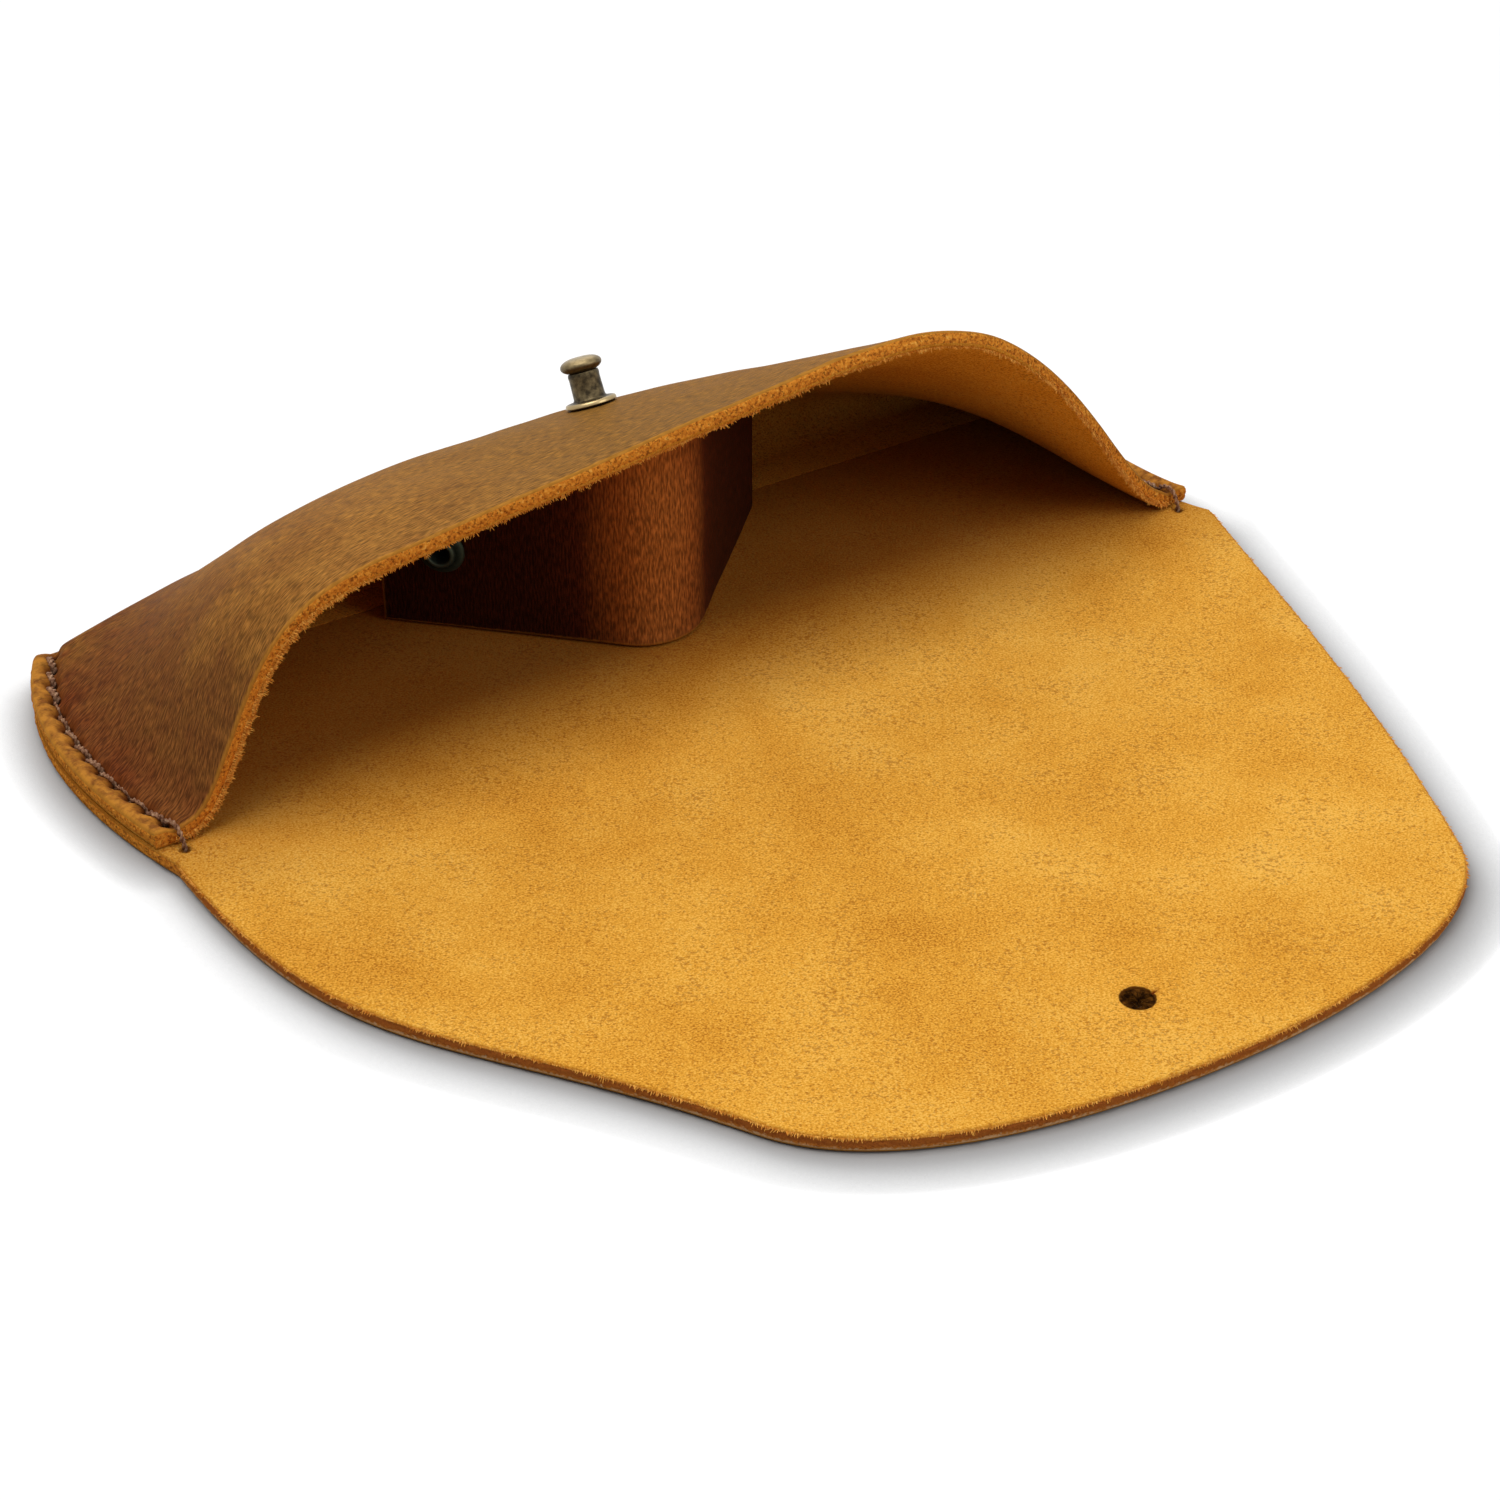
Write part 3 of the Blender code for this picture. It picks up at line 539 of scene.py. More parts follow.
def wrinkled_grain(name, ramp, gloss, mottle=1.0):
    """Waxed pull-up grain; ramp runs from the darkest tone to the palest."""
    material, tree, shader = new_material(name)
    stretch_and_light, olive, bend, seam, margin, rim, hole = (
        add_node(tree, **STORED, attribute_name=key) for key in GRAIN_MARKS)
    uv = add_node(tree, "ShaderNodeUVMap", uv_map="hide")
    combed = add_node(tree, "ShaderNodeMapping", {"Vector": uv, "Scale": (WRINKLE_STRETCH, 1.0, 1.0)},
                      vector_type="TEXTURE")
    wrinkles = add_node(tree, "ShaderNodeTexNoise",
                        {**NOISE, "Vector": combed, "Scale": per_mm(WRINKLE_SIZE), "Detail": 1.0})
    patches, cloud, ragged, pebbles = (
        add_node(tree, "ShaderNodeTexNoise", {**NOISE, "Vector": uv, "Scale": per_mm(size)})
        for size in (14, 3.5, 1.5, 0.5))
    level = add_node(tree, inputs={"Value": patches, "Value_001": 1.1 * mottle, "Value_002": stretch_and_light}, **SUM)
    level = add_node(tree, inputs={"Value": cloud, "Value_001": 0.4 * mottle, "Value_002": level}, **SUM)
    level = add_node(tree, "ShaderNodeMapRange", {"Value": level, "From Min": 0.75 * mottle - 0.25,
                                                  "From Max": 0.75 * mottle + 0.9})
    colour = add_node(tree, "ShaderNodeValToRGB", {"Fac": level}, stops=ramp)
    gold = add_node(tree, "ShaderNodeMapRange", {"Value": cloud, "From Min": 0.38, "From Max": 0.6})
    worn = add_node(tree, inputs={"Value": gold, "Value_001": bend}, **PRODUCT)
    smudge = add_node(tree, "ShaderNodeMapRange", {"Value": patches, "From Min": 0.3, "From Max": 0.6,
                                                   "To Min": 0.85, "To Max": 0.3})
    smudge = add_node(tree, inputs={"Value": smudge, "Value_001": seam}, **PRODUCT)
    colour = layered(tree, colour, [(olive, "#755424"), (worn, "#9c6d2c"), (smudge, "#602c12")])
    relief = add_node(tree, "ShaderNodeMapRange", {"Value": wrinkles, "From Min": 0.38, "From Max": 0.72,
                                                   "To Min": 0.30, "To Max": 0.90})
    colour = add_node(tree, inputs={"Factor_Float": 1.0, "A_Color": colour, "B_Color": relief},
                      blend_type="OVERLAY", **COLOUR_MIX)
    golden = add_node(tree, "ShaderNodeMapRange", {"Value": ragged, "From Min": 0.38, "From Max": 0.6,
                                                   "To Min": 0.2, "To Max": 0.9})
    golden = add_node(tree, inputs={"Value": golden, "Value_001": margin}, **PRODUCT)
    reach = add_node(tree, inputs={"Value": ragged, "Value_001": -0.5 * MM, "Value_002": rim}, **SUM)
    burnish = add_node(tree, "ShaderNodeMapRange", {"Value": reach, "From Min": -0.1 * MM,
                                                    "From Max": 0.25 * MM, "To Min": 0.6, "To Max": 0.0})
    # Round the stitch holes the grain is browned, partly stain and partly painted shade where the stitches
    # sink; nearest the holes it is painted near black, as the shade in the holes.
    stitch_stain_and_shade = add_node(tree, "ShaderNodeMapRange",
                    {"Value": hole, "From Min": 0.02, "From Max": 0.5, "To Max": 0.8})
    dark = add_node(tree, "ShaderNodeMapRange", {"Value": hole, "From Min": 0.40, "From Max": 0.8})
    colour = layered(tree, colour,
                     [(golden, "#c08030"), (burnish, "#c6852f"), (stitch_stain_and_shade, "#6a3414"), (dark, "#1e0d06")])
    height = add_node(tree, inputs={"Value": wrinkles, "Value_001": 0.8, "Value_002": pebbles}, **SUM)
    bump = add_node(tree, "ShaderNodeBump", {"Height": height, "Strength": 0.45, "Distance": 0.15 * MM})
    polish = add_node(tree, "ShaderNodeMapRange", {"Value": wrinkles, "From Min": 0.3, "From Max": 0.7,
                                                   "To Min": gloss, "To Max": gloss + 0.16})
    fill(tree, shader, {"Base Color": colour, "Roughness": polish, "Specular IOR Level": 0.02,
                        "Normal": bump})
    return material


grain_side = wrinkled_grain(
    "waxed pull-up leather, grain side",
    [(0.0, "#5c2f14"), (0.22, "#6c3e1d"), (0.5, "#754820"), (0.75, "#875826"), (1.0, "#98672d")], 0.52)
print("material:", grain_side.name, "nodes:", len(grain_side.node_tree.nodes))

# %% [markdown]
# ## Finish: cut edge
#
# A knife cut through dyed leather shows packed fibres: orange and gold, rough and speckled with dark pores.
# Along the flap the edge is brown under the flesh side, with a painted light by the grain where the floor's
# bounce would fall. The wall of the button hole is painted nearly black, as shade. The mark depth runs from
# the grain (0) to the flesh (1).

# %% Cut edge material
cut_edge, tree, shader = new_material("cut leather edge")
through, on_flap, hole = (add_node(tree, **STORED, attribute_name=key) for key in ("depth", "on_flap", "hole"))
rest = add_node(tree, "ShaderNodeAttribute", out="Vector", attribute_name="rest")
fibre, pores = (
    add_node(tree, "ShaderNodeTexNoise", {**NOISE, "Vector": rest, "Scale": per_mm(size), "Detail": detail})
    for size, detail in ((0.5, 4.0), (0.4, 1.0)))
tone = add_node(tree, "ShaderNodeValToRGB", {"Fac": fibre},
                stops=[(0.3, "#9a531a"), (0.45, "#cc7a28"), (0.58, "#e09030"), (0.75, "#eeb456")])
pores = add_node(tree, "ShaderNodeMapRange",
                 {"Value": pores, "From Min": 0.54, "From Max": 0.68, "To Max": 0.8})
depth = add_node(tree, inputs={"Value": fibre, "Value_001": 1.2, "Value_002": through}, **SUM)
# Along the flap: a painted light by the grain, as from the floor's bounce, and brown under the flesh side.
pale = add_node(tree, "ShaderNodeMapRange", {"Value": depth, "From Min": 0.65, "From Max": 0.95,
                                             "To Min": 0.9, "To Max": 0.0})
pale = add_node(tree, inputs={"Value": pale, "Value_001": on_flap}, **PRODUCT)
brown = add_node(tree, "ShaderNodeMapRange",
                 {"Value": depth, "From Min": 0.72, "From Max": 1.05, "To Max": 0.85})
brown = add_node(tree, inputs={"Value": brown, "Value_001": on_flap}, **PRODUCT)
# The hole mark paints the button hole's wall nearly black, as shade.
colour = layered(tree, tone, [(pores, "#743f16"), (pale, "#dcb080"), (brown, "#a45826"), (hole, "#2a1506")])
bump = add_node(tree, "ShaderNodeBump", {"Height": fibre, "Strength": 0.8, "Distance": 0.25 * MM})
fill(tree, shader, {"Base Color": colour, "Roughness": 0.9, "Specular IOR Level": 0.02, "Normal": bump})
HIDE_FINISHES = [grain_side, flesh_side, cut_edge]
print("hide finishes:", [m.name for m in HIDE_FINISHES])

# %% [markdown]
# ## Side seams
#
# Each side is sewn by hand with two needles, a saddle stitch: awl holes every 3.9 mm, and a stitch between
# each two on both faces. The line of holes is worked out here, since the leather dips along it.

# %% Seam lines
SEAM_INSET = 2.9 * MM
STITCH_PITCH = 3.9 * MM
FIRST_HOLE_Y = -1.5 * MM
LAST_HOLE_CLEAR = 2.0 * MM
SEAM_VALLEY = 0.9 * MM
HOLE_PINCH = 0.95 * MM
FRONT_DENTS = (0.55 * MM, 1.1 * MM)  # along the seam and at a hole
BACK_DENTS = (1.0 * MM, 0.4 * MM)


def seam_path(side):
    """Plan points of a seam, with the length along it and the lengths where its holes are."""
    ys = np.linspace(FIRST_HOLE_Y - STITCH_PITCH, FOLD_END_Y * MM, 400)
    plan = np.c_[side * (half_width(ys, side) - SEAM_INSET), ys]
    along = along_path(plan)
    first, last = np.interp([FIRST_HOLE_Y, FOLD_END_Y * MM - LAST_HOLE_CLEAR], ys, along)
    holes = first + STITCH_PITCH * np.arange(int((last - first) / STITCH_PITCH + 1e-6) + 1)
    return plan, along, holes


def on_seam(side, lengths):
    """Plan points at these lengths along a seam."""
    plan, along, _ = SEAMS[side]
    return np.c_[np.interp(lengths, along, plan[:, 0]), np.interp(lengths, along, plan[:, 1])]


SEAMS = {side: seam_path(side) for side in (-1, 1)}
HOLES = np.concatenate([on_seam(side, SEAMS[side][2]) for side in (-1, 1)])


def seam_dips(plan):
    """Nearness to a seam and to its holes, both from 0 to 1, at plan points."""
    near_line = np.zeros(len(plan))
    for side in (-1, 1):
        line, _, _ = SEAMS[side]
        off = np.abs(plan[:, 0] - np.interp(plan[:, 1], line[:, 1], line[:, 0]))
        ends = (plan[:, 1] > line[0, 1] + STITCH_PITCH * 0.6) & (plan[:, 1] < HOLES[:, 1].max() + 2 * MM)
        near_line = np.maximum(near_line, np.exp(-(off / SEAM_VALLEY) ** 2) * ends)
    gaps = np.linalg.norm(plan[:, None] - HOLES[None], axis=2).min(axis=1)
    return near_line, np.exp(-(gaps / HOLE_PINCH) ** 2)


print("holes a side:", len(SEAMS[1][2]))

# %% [markdown]
# ## Front panel
#
# The surface formula is sampled on a grid that is finer along the mouth, where the cut edge shows, and along
# the seams, where the leather dips. A little noise keeps the bulge from looking pressed in a mould. Along the
# margins the sheet is a little thicker, because the stitches press the two layers together there.

# %% Front panel
FRONT_SPAN = 66 * MM
FRONT_HALF = 87 * MM
SIDE_ROUND = 0.25 * MM  # the sides are rounded by this much more than the mouth
mouth_rows = EDGE_STEPS / FRONT_SPAN
rows = np.r_[mouth_rows, np.linspace(mouth_rows[-1], FLAT_SHARE, 84)[1:], np.linspace(FLAT_SHARE, 1, 16)[1:],
             np.linspace(1, 2, 22)[1:], np.linspace(2, 3, 7)[1:]]
from_side = np.r_[EDGE_STEPS, np.arange(1.35, 6.0, 0.35) * MM, np.linspace(6.0 * MM, FRONT_HALF, 98)]
columns = np.r_[from_side / FRONT_HALF - 1, (1 - from_side / FRONT_HALF)[-2::-1]]


def grid_faces(row_count, column_count):
    """Quads of a grid of points stored row by row."""
    at = np.arange(row_count * column_count).reshape(row_count, column_count)
    quads = np.stack([at[:-1, :-1], at[:-1, 1:], at[1:, 1:], at[1:, :-1]], axis=-1)
    return quads.reshape(-1, 4).tolist()


def grid_lengths(grid):
    """Lengths across and down a grid of points, in metres, from its middle column and first row."""
    across = np.linalg.norm(np.diff(grid, axis=1), axis=2)
    down = np.linalg.norm(np.diff(grid, axis=0), axis=2)
    u = np.pad(np.cumsum(across, axis=1), ((0, 0), (1, 0)))
    v = np.pad(np.cumsum(down, axis=0), ((1, 0), (0, 0)))
    return np.stack([u - u[:, [u.shape[1] // 2]], v], axis=-1)


t, s = (g.ravel() for g in np.meshgrid(columns, rows))
points = panel_point(t, s)
normals = panel_normal(t, s)
width = half_width(end_section(s)[0], t)
share = swell(t, s, width)
lumps = np.array([0.30 * rough(p, 21 * MM) + 0.10 * rough(p, 7 * MM) for p in points]) * MM
points = points + normals * (lumps * np.minimum(1, share * 2.5) * (s < 2))[:, None]
front_uv = grid_lengths(points.reshape(len(rows), len(columns), 3)).reshape(-1, 2)
side_gap = (1 - np.abs(t)) * width
front_rim = np.minimum(s * FRONT_SPAN, side_gap)
near_line, near_hole = seam_dips(points[:, :2])
upper = (s < 1.0) & (share < 0.06)
near_line, near_hole = near_line * upper, near_hole * upper
inner_gap = np.maximum(0, side_gap - SEAM_INSET)
front_marks = {
    "stretch_and_light": share * (1 - 0.35 * np.abs(t)),
    "seam": np.exp(-((inner_gap / (3.5 * MM)) ** 2)) * (s < 1.2),
    "olive": 0.6 * np.exp(-(((t + 0.05) / 0.42) ** 2)) * (s < 1.2),
    "margin": np.clip((SEAM_INSET + 0.1 * MM - side_gap) / (0.8 * MM), 0, 1) * (s < 1.2),
    "bend": np.exp(-(((s - 0.74 - 0.2 * (1 - t**8)) / 0.17) ** 2)),
    "hole": near_hole,
    # painted shade on the inner face, growing from the mouth into the pouch
    "shade": 0.35 * rise(s, 0, 0.22),
}
wrinkle_uv = np.c_[front_uv[:, 0], front_uv[:, 1] + 1.6 * front_uv[:, 0] ** 2]
pressed = HIDE + 0.9 * LAP_GAP * np.clip(1 - share / 0.02, 0, 1) * (s < FLAT_SHARE)
rounding = EDGE_ROUND + SIDE_ROUND * rise(s * FRONT_SPAN, side_gap, 1 * MM)
front_panel = leather_sheet(
    "front_panel_hide", points, normals, grid_faces(len(rows), len(columns)), front_rim, pressed, wrinkle_uv,
    front_marks, HIDE_FINISHES, dents=(FRONT_DENTS[0] * near_line + FRONT_DENTS[1] * near_hole, 0),
    rounding=rounding,
)
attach(front_panel, "pouch")
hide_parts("front_panel")

# %% [markdown]
# ## Back and flap
#
# Back and flap are flat, so their mesh starts as a plan drawing. Strips of narrow faces follow the free edge,
# where the cut is rounded, and the space between them is filled by a Delaunay triangulation of evenly spread
# points, which copes with the curved tip and the button hole. The hide is made in three lengths that meet
# on lines across it, because a bend can only cross one fold line at a time.

# %% Free edge of back and flap
EDGE_SPACING = 0.7 * MM
FILL_SPACING = 1.25 * MM
CUT_LINES = [BUTT_Y, -40 * MM, -51 * MM, TIP[1] * MM]


def edge_run(side, y_from, y_to):
    """Evenly spaced points of one side of the outline between two lines across the hide."""
    x, y = OUTLINE[side].T
    keep = (y < y_from) & (y > y_to)
    line = np.c_[np.r_[half_width(y_from, side), x[keep], half_width(y_to, side)],
                 np.r_[y_from, y[keep], y_to]]
    along = along_path(line)
    stops = np.linspace(0, along[-1], round(along[-1] / EDGE_SPACING) + 1)
    return np.c_[side * np.interp(stops, along, line[:, 0]), np.interp(stops, along, line[:, 1])]


lengths = list(zip(CUT_LINES, CUT_LINES[1:]))
left_runs = [edge_run(-1, *ends) for ends in lengths]
right_runs = [edge_run(1, *ends)[::-1] for ends in reversed(lengths)]
free_edge = np.concatenate([run[:-1] for run in left_runs + right_runs] + [right_runs[-1][-1:]])
counts = np.cumsum([0] + [len(run) - 1 for run in left_runs + right_runs])
heading = unit(np.gradient(free_edge, axis=0))
inward = np.c_[-heading[:, 1], heading[:, 0]]
print("free edge in mm:", round(along_path(free_edge)[-1] / MM))

# %% Plan mesh helper
HOLE_STRIP = 0.3  # the strip round the button hole is narrower, so that it doesn't cross itself at the slit


def inside(plan, loop):
    """True for plan points within a closed loop, by counting crossings."""
    found = np.zeros(len(plan), bool)
    for (ax, ay), (bx, by) in zip(loop, np.roll(loop, -1, axis=0)):
        spans = (ay > plan[:, 1]) != (by > plan[:, 1])
        if spans.any():
            cross = ax + (plan[:, 1] - ay) / (by - ay if by != ay else 1) * (bx - ax)
            found ^= spans & (plan[:, 0] < cross)
    return found


def plan_mesh(strips, hole, extra):
    """Plan points, their distance to the free edge, and faces anticlockwise from above.
    A strip is edge points and inward directions; a straight line joins its end to the next one's start."""
    plan, rim, faces, loop = [], [], [], []
    for line, into in strips + ([hole] if hole else []):
        first, n, closed = len(plan), len(line), hole is not None and line is hole[0]
        for step in EDGE_STEPS * (HOLE_STRIP if closed else 1):
            plan += list(line + into * step)
            rim += [step] * n
        for row in range(len(EDGE_STEPS) - 1):
            for i in range(n if closed else n - 1):
                a, b = first + row * n + i, first + row * n + (i + 1) % n
                faces.append([a, b, b + n, a + n])
        loop.append(list(range(len(plan) - n, len(plan))))
    outer = []
    for k in range(len(strips)):
        outer += loop[k]
        start, end = plan[outer[-1]], plan[loop[(k + 1) % len(strips)][0]]
        steps = round(np.linalg.norm(end - start) / FILL_SPACING)
        for share in np.linspace(0, 1, steps + 1)[1:-1]:
            outer.append(len(plan))
            plan.append(start + (end - start) * share)
            rim.append(EDGE_STEPS[-1])
    loops = [outer] + ([loop[-1]] if hole else [])
    rings = [np.array([plan[i] for i in ring]) for ring in loops]
    low, high = rings[0].min(axis=0), rings[0].max(axis=0)
    ys = np.arange(low[1], high[1], FILL_SPACING * 0.87)
    fill_points = np.array([(x + (k % 2) * FILL_SPACING / 2, y) for k, y in enumerate(ys)
                            for x in np.arange(low[0], high[0], FILL_SPACING)])
    fixed = np.concatenate(rings + [extra])
    keep = inside(fill_points, rings[0])
    if hole:
        keep &= ~inside(fill_points, rings[1])
    fill_points = fill_points[keep]
    far = [np.min(np.abs(fixed - p).max(axis=1)) > FILL_SPACING * 0.55 for p in fill_points]
    fill_points = np.concatenate([extra, fill_points[far]])
    inner_ids = [i for ring in loops for i in ring] + list(range(len(plan), len(plan) + len(fill_points)))
    plan += list(fill_points)
    rim += [EDGE_STEPS[-1]] * len(fill_points)
    place = {v: k for k, v in enumerate(inner_ids)}
    edges = [(place[a], place[b]) for ring in loops for a, b in zip(ring, ring[1:] + ring[:1])]
    coords = [Vector(plan[i]) / MM for i in inner_ids]
    _, _, triangles, origin, _, _ = geometry.delaunay_2d_cdt(coords, edges, [], 1, 1e-7)
    for triangle in triangles:
        ids = [inner_ids[origin[v][0]] for v in triangle]
        middle = np.mean([plan[i] for i in ids], axis=0)
        if not (hole and inside(middle[None], rings[1])[0]):
            faces.append(ids)
    return np.array(plan), np.array(rim), faces


def edge_strip(first, last):
    """Free edge between two of the cut lines, as points and inward directions."""
    span = slice(counts[first], counts[last] + 1)
    return free_edge[span], inward[span]


HOLE_CENTRE = np.array((0, -91.0)) * MM
HOLE_RADIUS = 2.1 * MM


def hide_length(name, strips, hole=None, extra=np.zeros((0, 2))):
    """One length of back and flap, with its grain down and its flesh side up."""
    plan, rim, faces = plan_mesh(strips, hole, extra)
    near_line, near_hole = seam_dips(plan)
    points = np.c_[plan, np.zeros(len(plan))]
    wave = np.array([max(0, 0.18 * rough(p, 30 * MM) + 0.05 * rough(p, 8 * MM)) for p in points]) * MM
    normals = np.tile((0.0, 0.0, -1.0), (len(plan), 1))
    marks = {"stretch_and_light": 0.35 + 0.25 * np.array([rough(p, 60 * MM) for p in points]), "seam": near_line,
             # The next mark is 1 along the flap, where the cut edge lays its painted light and its brown
             # band.
             "hole": near_hole, "on_flap": rise(-plan[:, 1], 2 * MM, 10 * MM),
             # painted shade: deep in the pouch, and a little down the flap towards the mouth
             "shade": 0.60 * rise(plan[:, 1], -18 * MM, 28 * MM) ** 1.2
             + 0.10 * rise(plan[:, 1], -70 * MM, 60 * MM)}
    if hole:
        gaps = np.maximum(0, np.linalg.norm(plan - HOLE_CENTRE, axis=1) - HOLE_RADIUS)
        marks["hole"] = np.maximum(near_hole, 0.9 * np.exp(-(gaps / (0.2 * MM)) ** 2))
    return leather_sheet(name, points, normals, [face[::-1] for face in faces], rim, HIDE, plan, marks,
                         HIDE_FINISHES, dents=(BACK_DENTS[0] * near_line + wave, BACK_DENTS[1] * near_hole))


# %% Back and flap
SLIT_LENGTH = 0.9 * MM  # drawn shorter than it was cut, because the leather closes up again
SLIT_HALF = 0.15 * MM
HOLE_POINTS = 72


def button_hole():
    """Round hole with a short slit, clockwise so that the leather is on its left, softened at its corners."""
    turns = np.linspace(0, 2 * np.pi, 400, endpoint=False)
    around = np.c_[np.cos(turns), np.sin(turns)] * HOLE_RADIUS
    slit = (np.abs(around[:, 1]) < SLIT_HALF) & (around[:, 0] > 0)
    around[slit, 0] = HOLE_RADIUS + SLIT_LENGTH
    closed = np.r_[around, around[:1]]
    along = along_path(closed)
    stops = np.linspace(0, along[-1], HOLE_POINTS + 1)[:-1]
    line = np.c_[np.interp(stops, along, closed[:, 0]), np.interp(stops, along, closed[:, 1])]
    for _ in range(4):
        line = (np.roll(line, 1, axis=0) + 2 * line + np.roll(line, -1, axis=0)) / 4
    line = line[::-1] + HOLE_CENTRE
    heading = unit(np.roll(line, -1, axis=0) - np.roll(line, 1, axis=0))
    return line, np.c_[-heading[:, 1], heading[:, 0]]


seam_rows = []
for side, (plan, along, holes) in SEAMS.items():
    stops = np.arange(holes[0] - 1.5 * MM, np.interp(BUTT_Y - 1 * MM, plan[:, 1], along), 0.5 * MM)
    for off in np.linspace(-1.2, 1.2, 7) * MM:
        seam_rows.append(on_seam(side, stops) + (off, 0))
back_hide = hide_length("back_and_flap_root_hide", [edge_strip(0, 1), edge_strip(5, 6)],
                        extra=np.concatenate(seam_rows))
fold_hide = hide_length("flap_fold_hide", [edge_strip(1, 2), edge_strip(4, 5)])
tip_hide = hide_length("flap_tip_hide", [edge_strip(2, 4)], hole=button_hole())

# %% Bake the three lengths in place and list the fold lines
FOLDS = [(("pouch", "spine"), -5 * MM, -18 * MM), (("spine", "crown"), -44 * MM, -51 * MM),
         (("crown", "tongue"), -51 * MM, -58 * MM)]
for piece, (bodies, start, end) in zip((back_hide, fold_hide, tip_hide), FOLDS):
    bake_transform(piece)
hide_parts("back_panel", "flap_spine")
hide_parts("flap_crown")
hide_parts("flap_tongue")
print("folds in mm:", [(bodies, round(start / MM), round(end / MM)) for bodies, start, end in FOLDS])

# %% [markdown]
# ## Thread
#
# The thread is two plies of waxed linen twisted together, about 0.7 mm thick, tan with brown dirt in the wax.
# It sinks into the leather, which swells round each hole. One stitch is modelled as two wound tubes that dive
# into a hole at each end, where a mark paints them dark as the shade inside the hole. Geometry Nodes set
# copies of it along the seam, because they all share one shape and one spacing.

# %% Waxed thread material
waxed_thread, tree, shader = new_material("waxed linen thread")
place = add_node(tree, "ShaderNodeTexCoord", out="Object")
dip_shade = add_node(tree, **STORED, attribute_name="dip_shade")
wax = add_node(tree, "ShaderNodeTexNoise", {**NOISE, "Vector": place, "Scale": per_mm(0.5)})
tone = add_node(tree, "ShaderNodeValToRGB", {"Fac": wax},
                stops=[(0.32, "#4e2b18"), (0.5, "#8c6247"), (0.7, "#bc9877")])
# painted shade where the thread dives into a hole
tone = layered(tree, tone, [(dip_shade, "#1f0e06")])
bump = add_node(tree, "ShaderNodeBump", {"Height": wax, "Strength": 0.4, "Distance": 0.05 * MM})
fill(tree, shader, {"Base Color": tone, "Roughness": 0.6, "Specular IOR Level": 0.15, "Normal": bump})
print("material:", waxed_thread.name)

# %% Twisted strand helper
PLY = 0.21 * MM
PLY_OFFSET = 0.17 * MM
TWIST_LENGTH = 1.7 * MM
STRAND_SIDES = 6
OFF_AXIS = (0.31, 0.12, 0.94)  # any direction that no thread runs along


def twisted_strand(path, shape):
    """Adds two plies wound round a path to a bmesh, marked for painted shade where they dive into the holes
    at its ends.
    """
    dip_shade = shape.verts.layers.float.get("dip_shade") or shape.verts.layers.float.new("dip_shade")
    path = np.array(path, float)
    dip_shades = np.abs(np.linspace(-1, 1, len(path))) ** 3
    run = unit(np.gradient(path, axis=0))
    aside = unit(np.cross(run, OFF_AXIS))
    over = np.cross(run, aside)
    along = along_path(path)
    for ply in (0, math.pi):
        turn = 2 * np.pi * along / TWIST_LENGTH + ply
        middle = path + PLY_OFFSET * (np.cos(turn)[:, None] * aside + np.sin(turn)[:, None] * over)
        rings = []
        for k, centre in enumerate(middle):
            angles = 2 * np.pi * np.arange(STRAND_SIDES) / STRAND_SIDES
            ring = centre + PLY * (np.cos(angles)[:, None] * aside[k] + np.sin(angles)[:, None] * over[k])
            rings.append([shape.verts.new(p) for p in ring])
            for vertex in rings[-1]:
                vertex[dip_shade] = dip_shades[k]
        for low, high in zip(rings, rings[1:]):
            for k in range(STRAND_SIDES):
                n = (k + 1) % STRAND_SIDES
                shape.faces.new((low[k], low[n], high[n], high[k]))
        shape.faces.new(rings[0][::-1])
        shape.faces.new(rings[-1])


def smooth_mesh(name, shape):
    """Turns a bmesh into a smooth mesh."""
    mesh = bpy.data.meshes.new(name)
    shape.to_mesh(mesh)
    shape.free()
    mesh.shade_smooth()
    return mesh


def strand_mesh(name, paths):
    """Smooth mesh with a twisted strand along each path."""
    shape = bmesh.new()
    for path in paths:
        twisted_strand(path, shape)
    bmesh.ops.recalc_face_normals(shape, faces=shape.faces)
    return smooth_mesh(name, shape)


STITCH_HUMP = 0.22 * MM
STITCH_DIVE = 1.2 * MM
STITCH_SLANT = 0.32 * MM
ends = np.linspace(-1, 1, 19)
stitch_path = np.c_[ends * STITCH_PITCH * 0.47, ends * STITCH_SLANT,
                    STITCH_HUMP - STITCH_DIVE * np.abs(ends) ** 3.5]
stitch = add_object("stitch_pattern", strand_mesh("stitch_pattern", [stitch_path]))
print("faces in a stitch:", len(stitch.data.polygons))

# %% Stitch row tree
def add_sockets(tree, inputs):
    """Gives a geometry tree its geometry sockets and named inputs, and returns the inputs' outputs."""
    tree.interface.new_socket(name="Geometry", in_out="OUTPUT", socket_type="NodeSocketGeometry")
    for name, kind in [("Geometry", "Geometry")] + inputs:
        tree.interface.new_socket(name=name, in_out="INPUT", socket_type="NodeSocket" + kind)
    return tree.nodes.new("NodeGroupInput").outputs


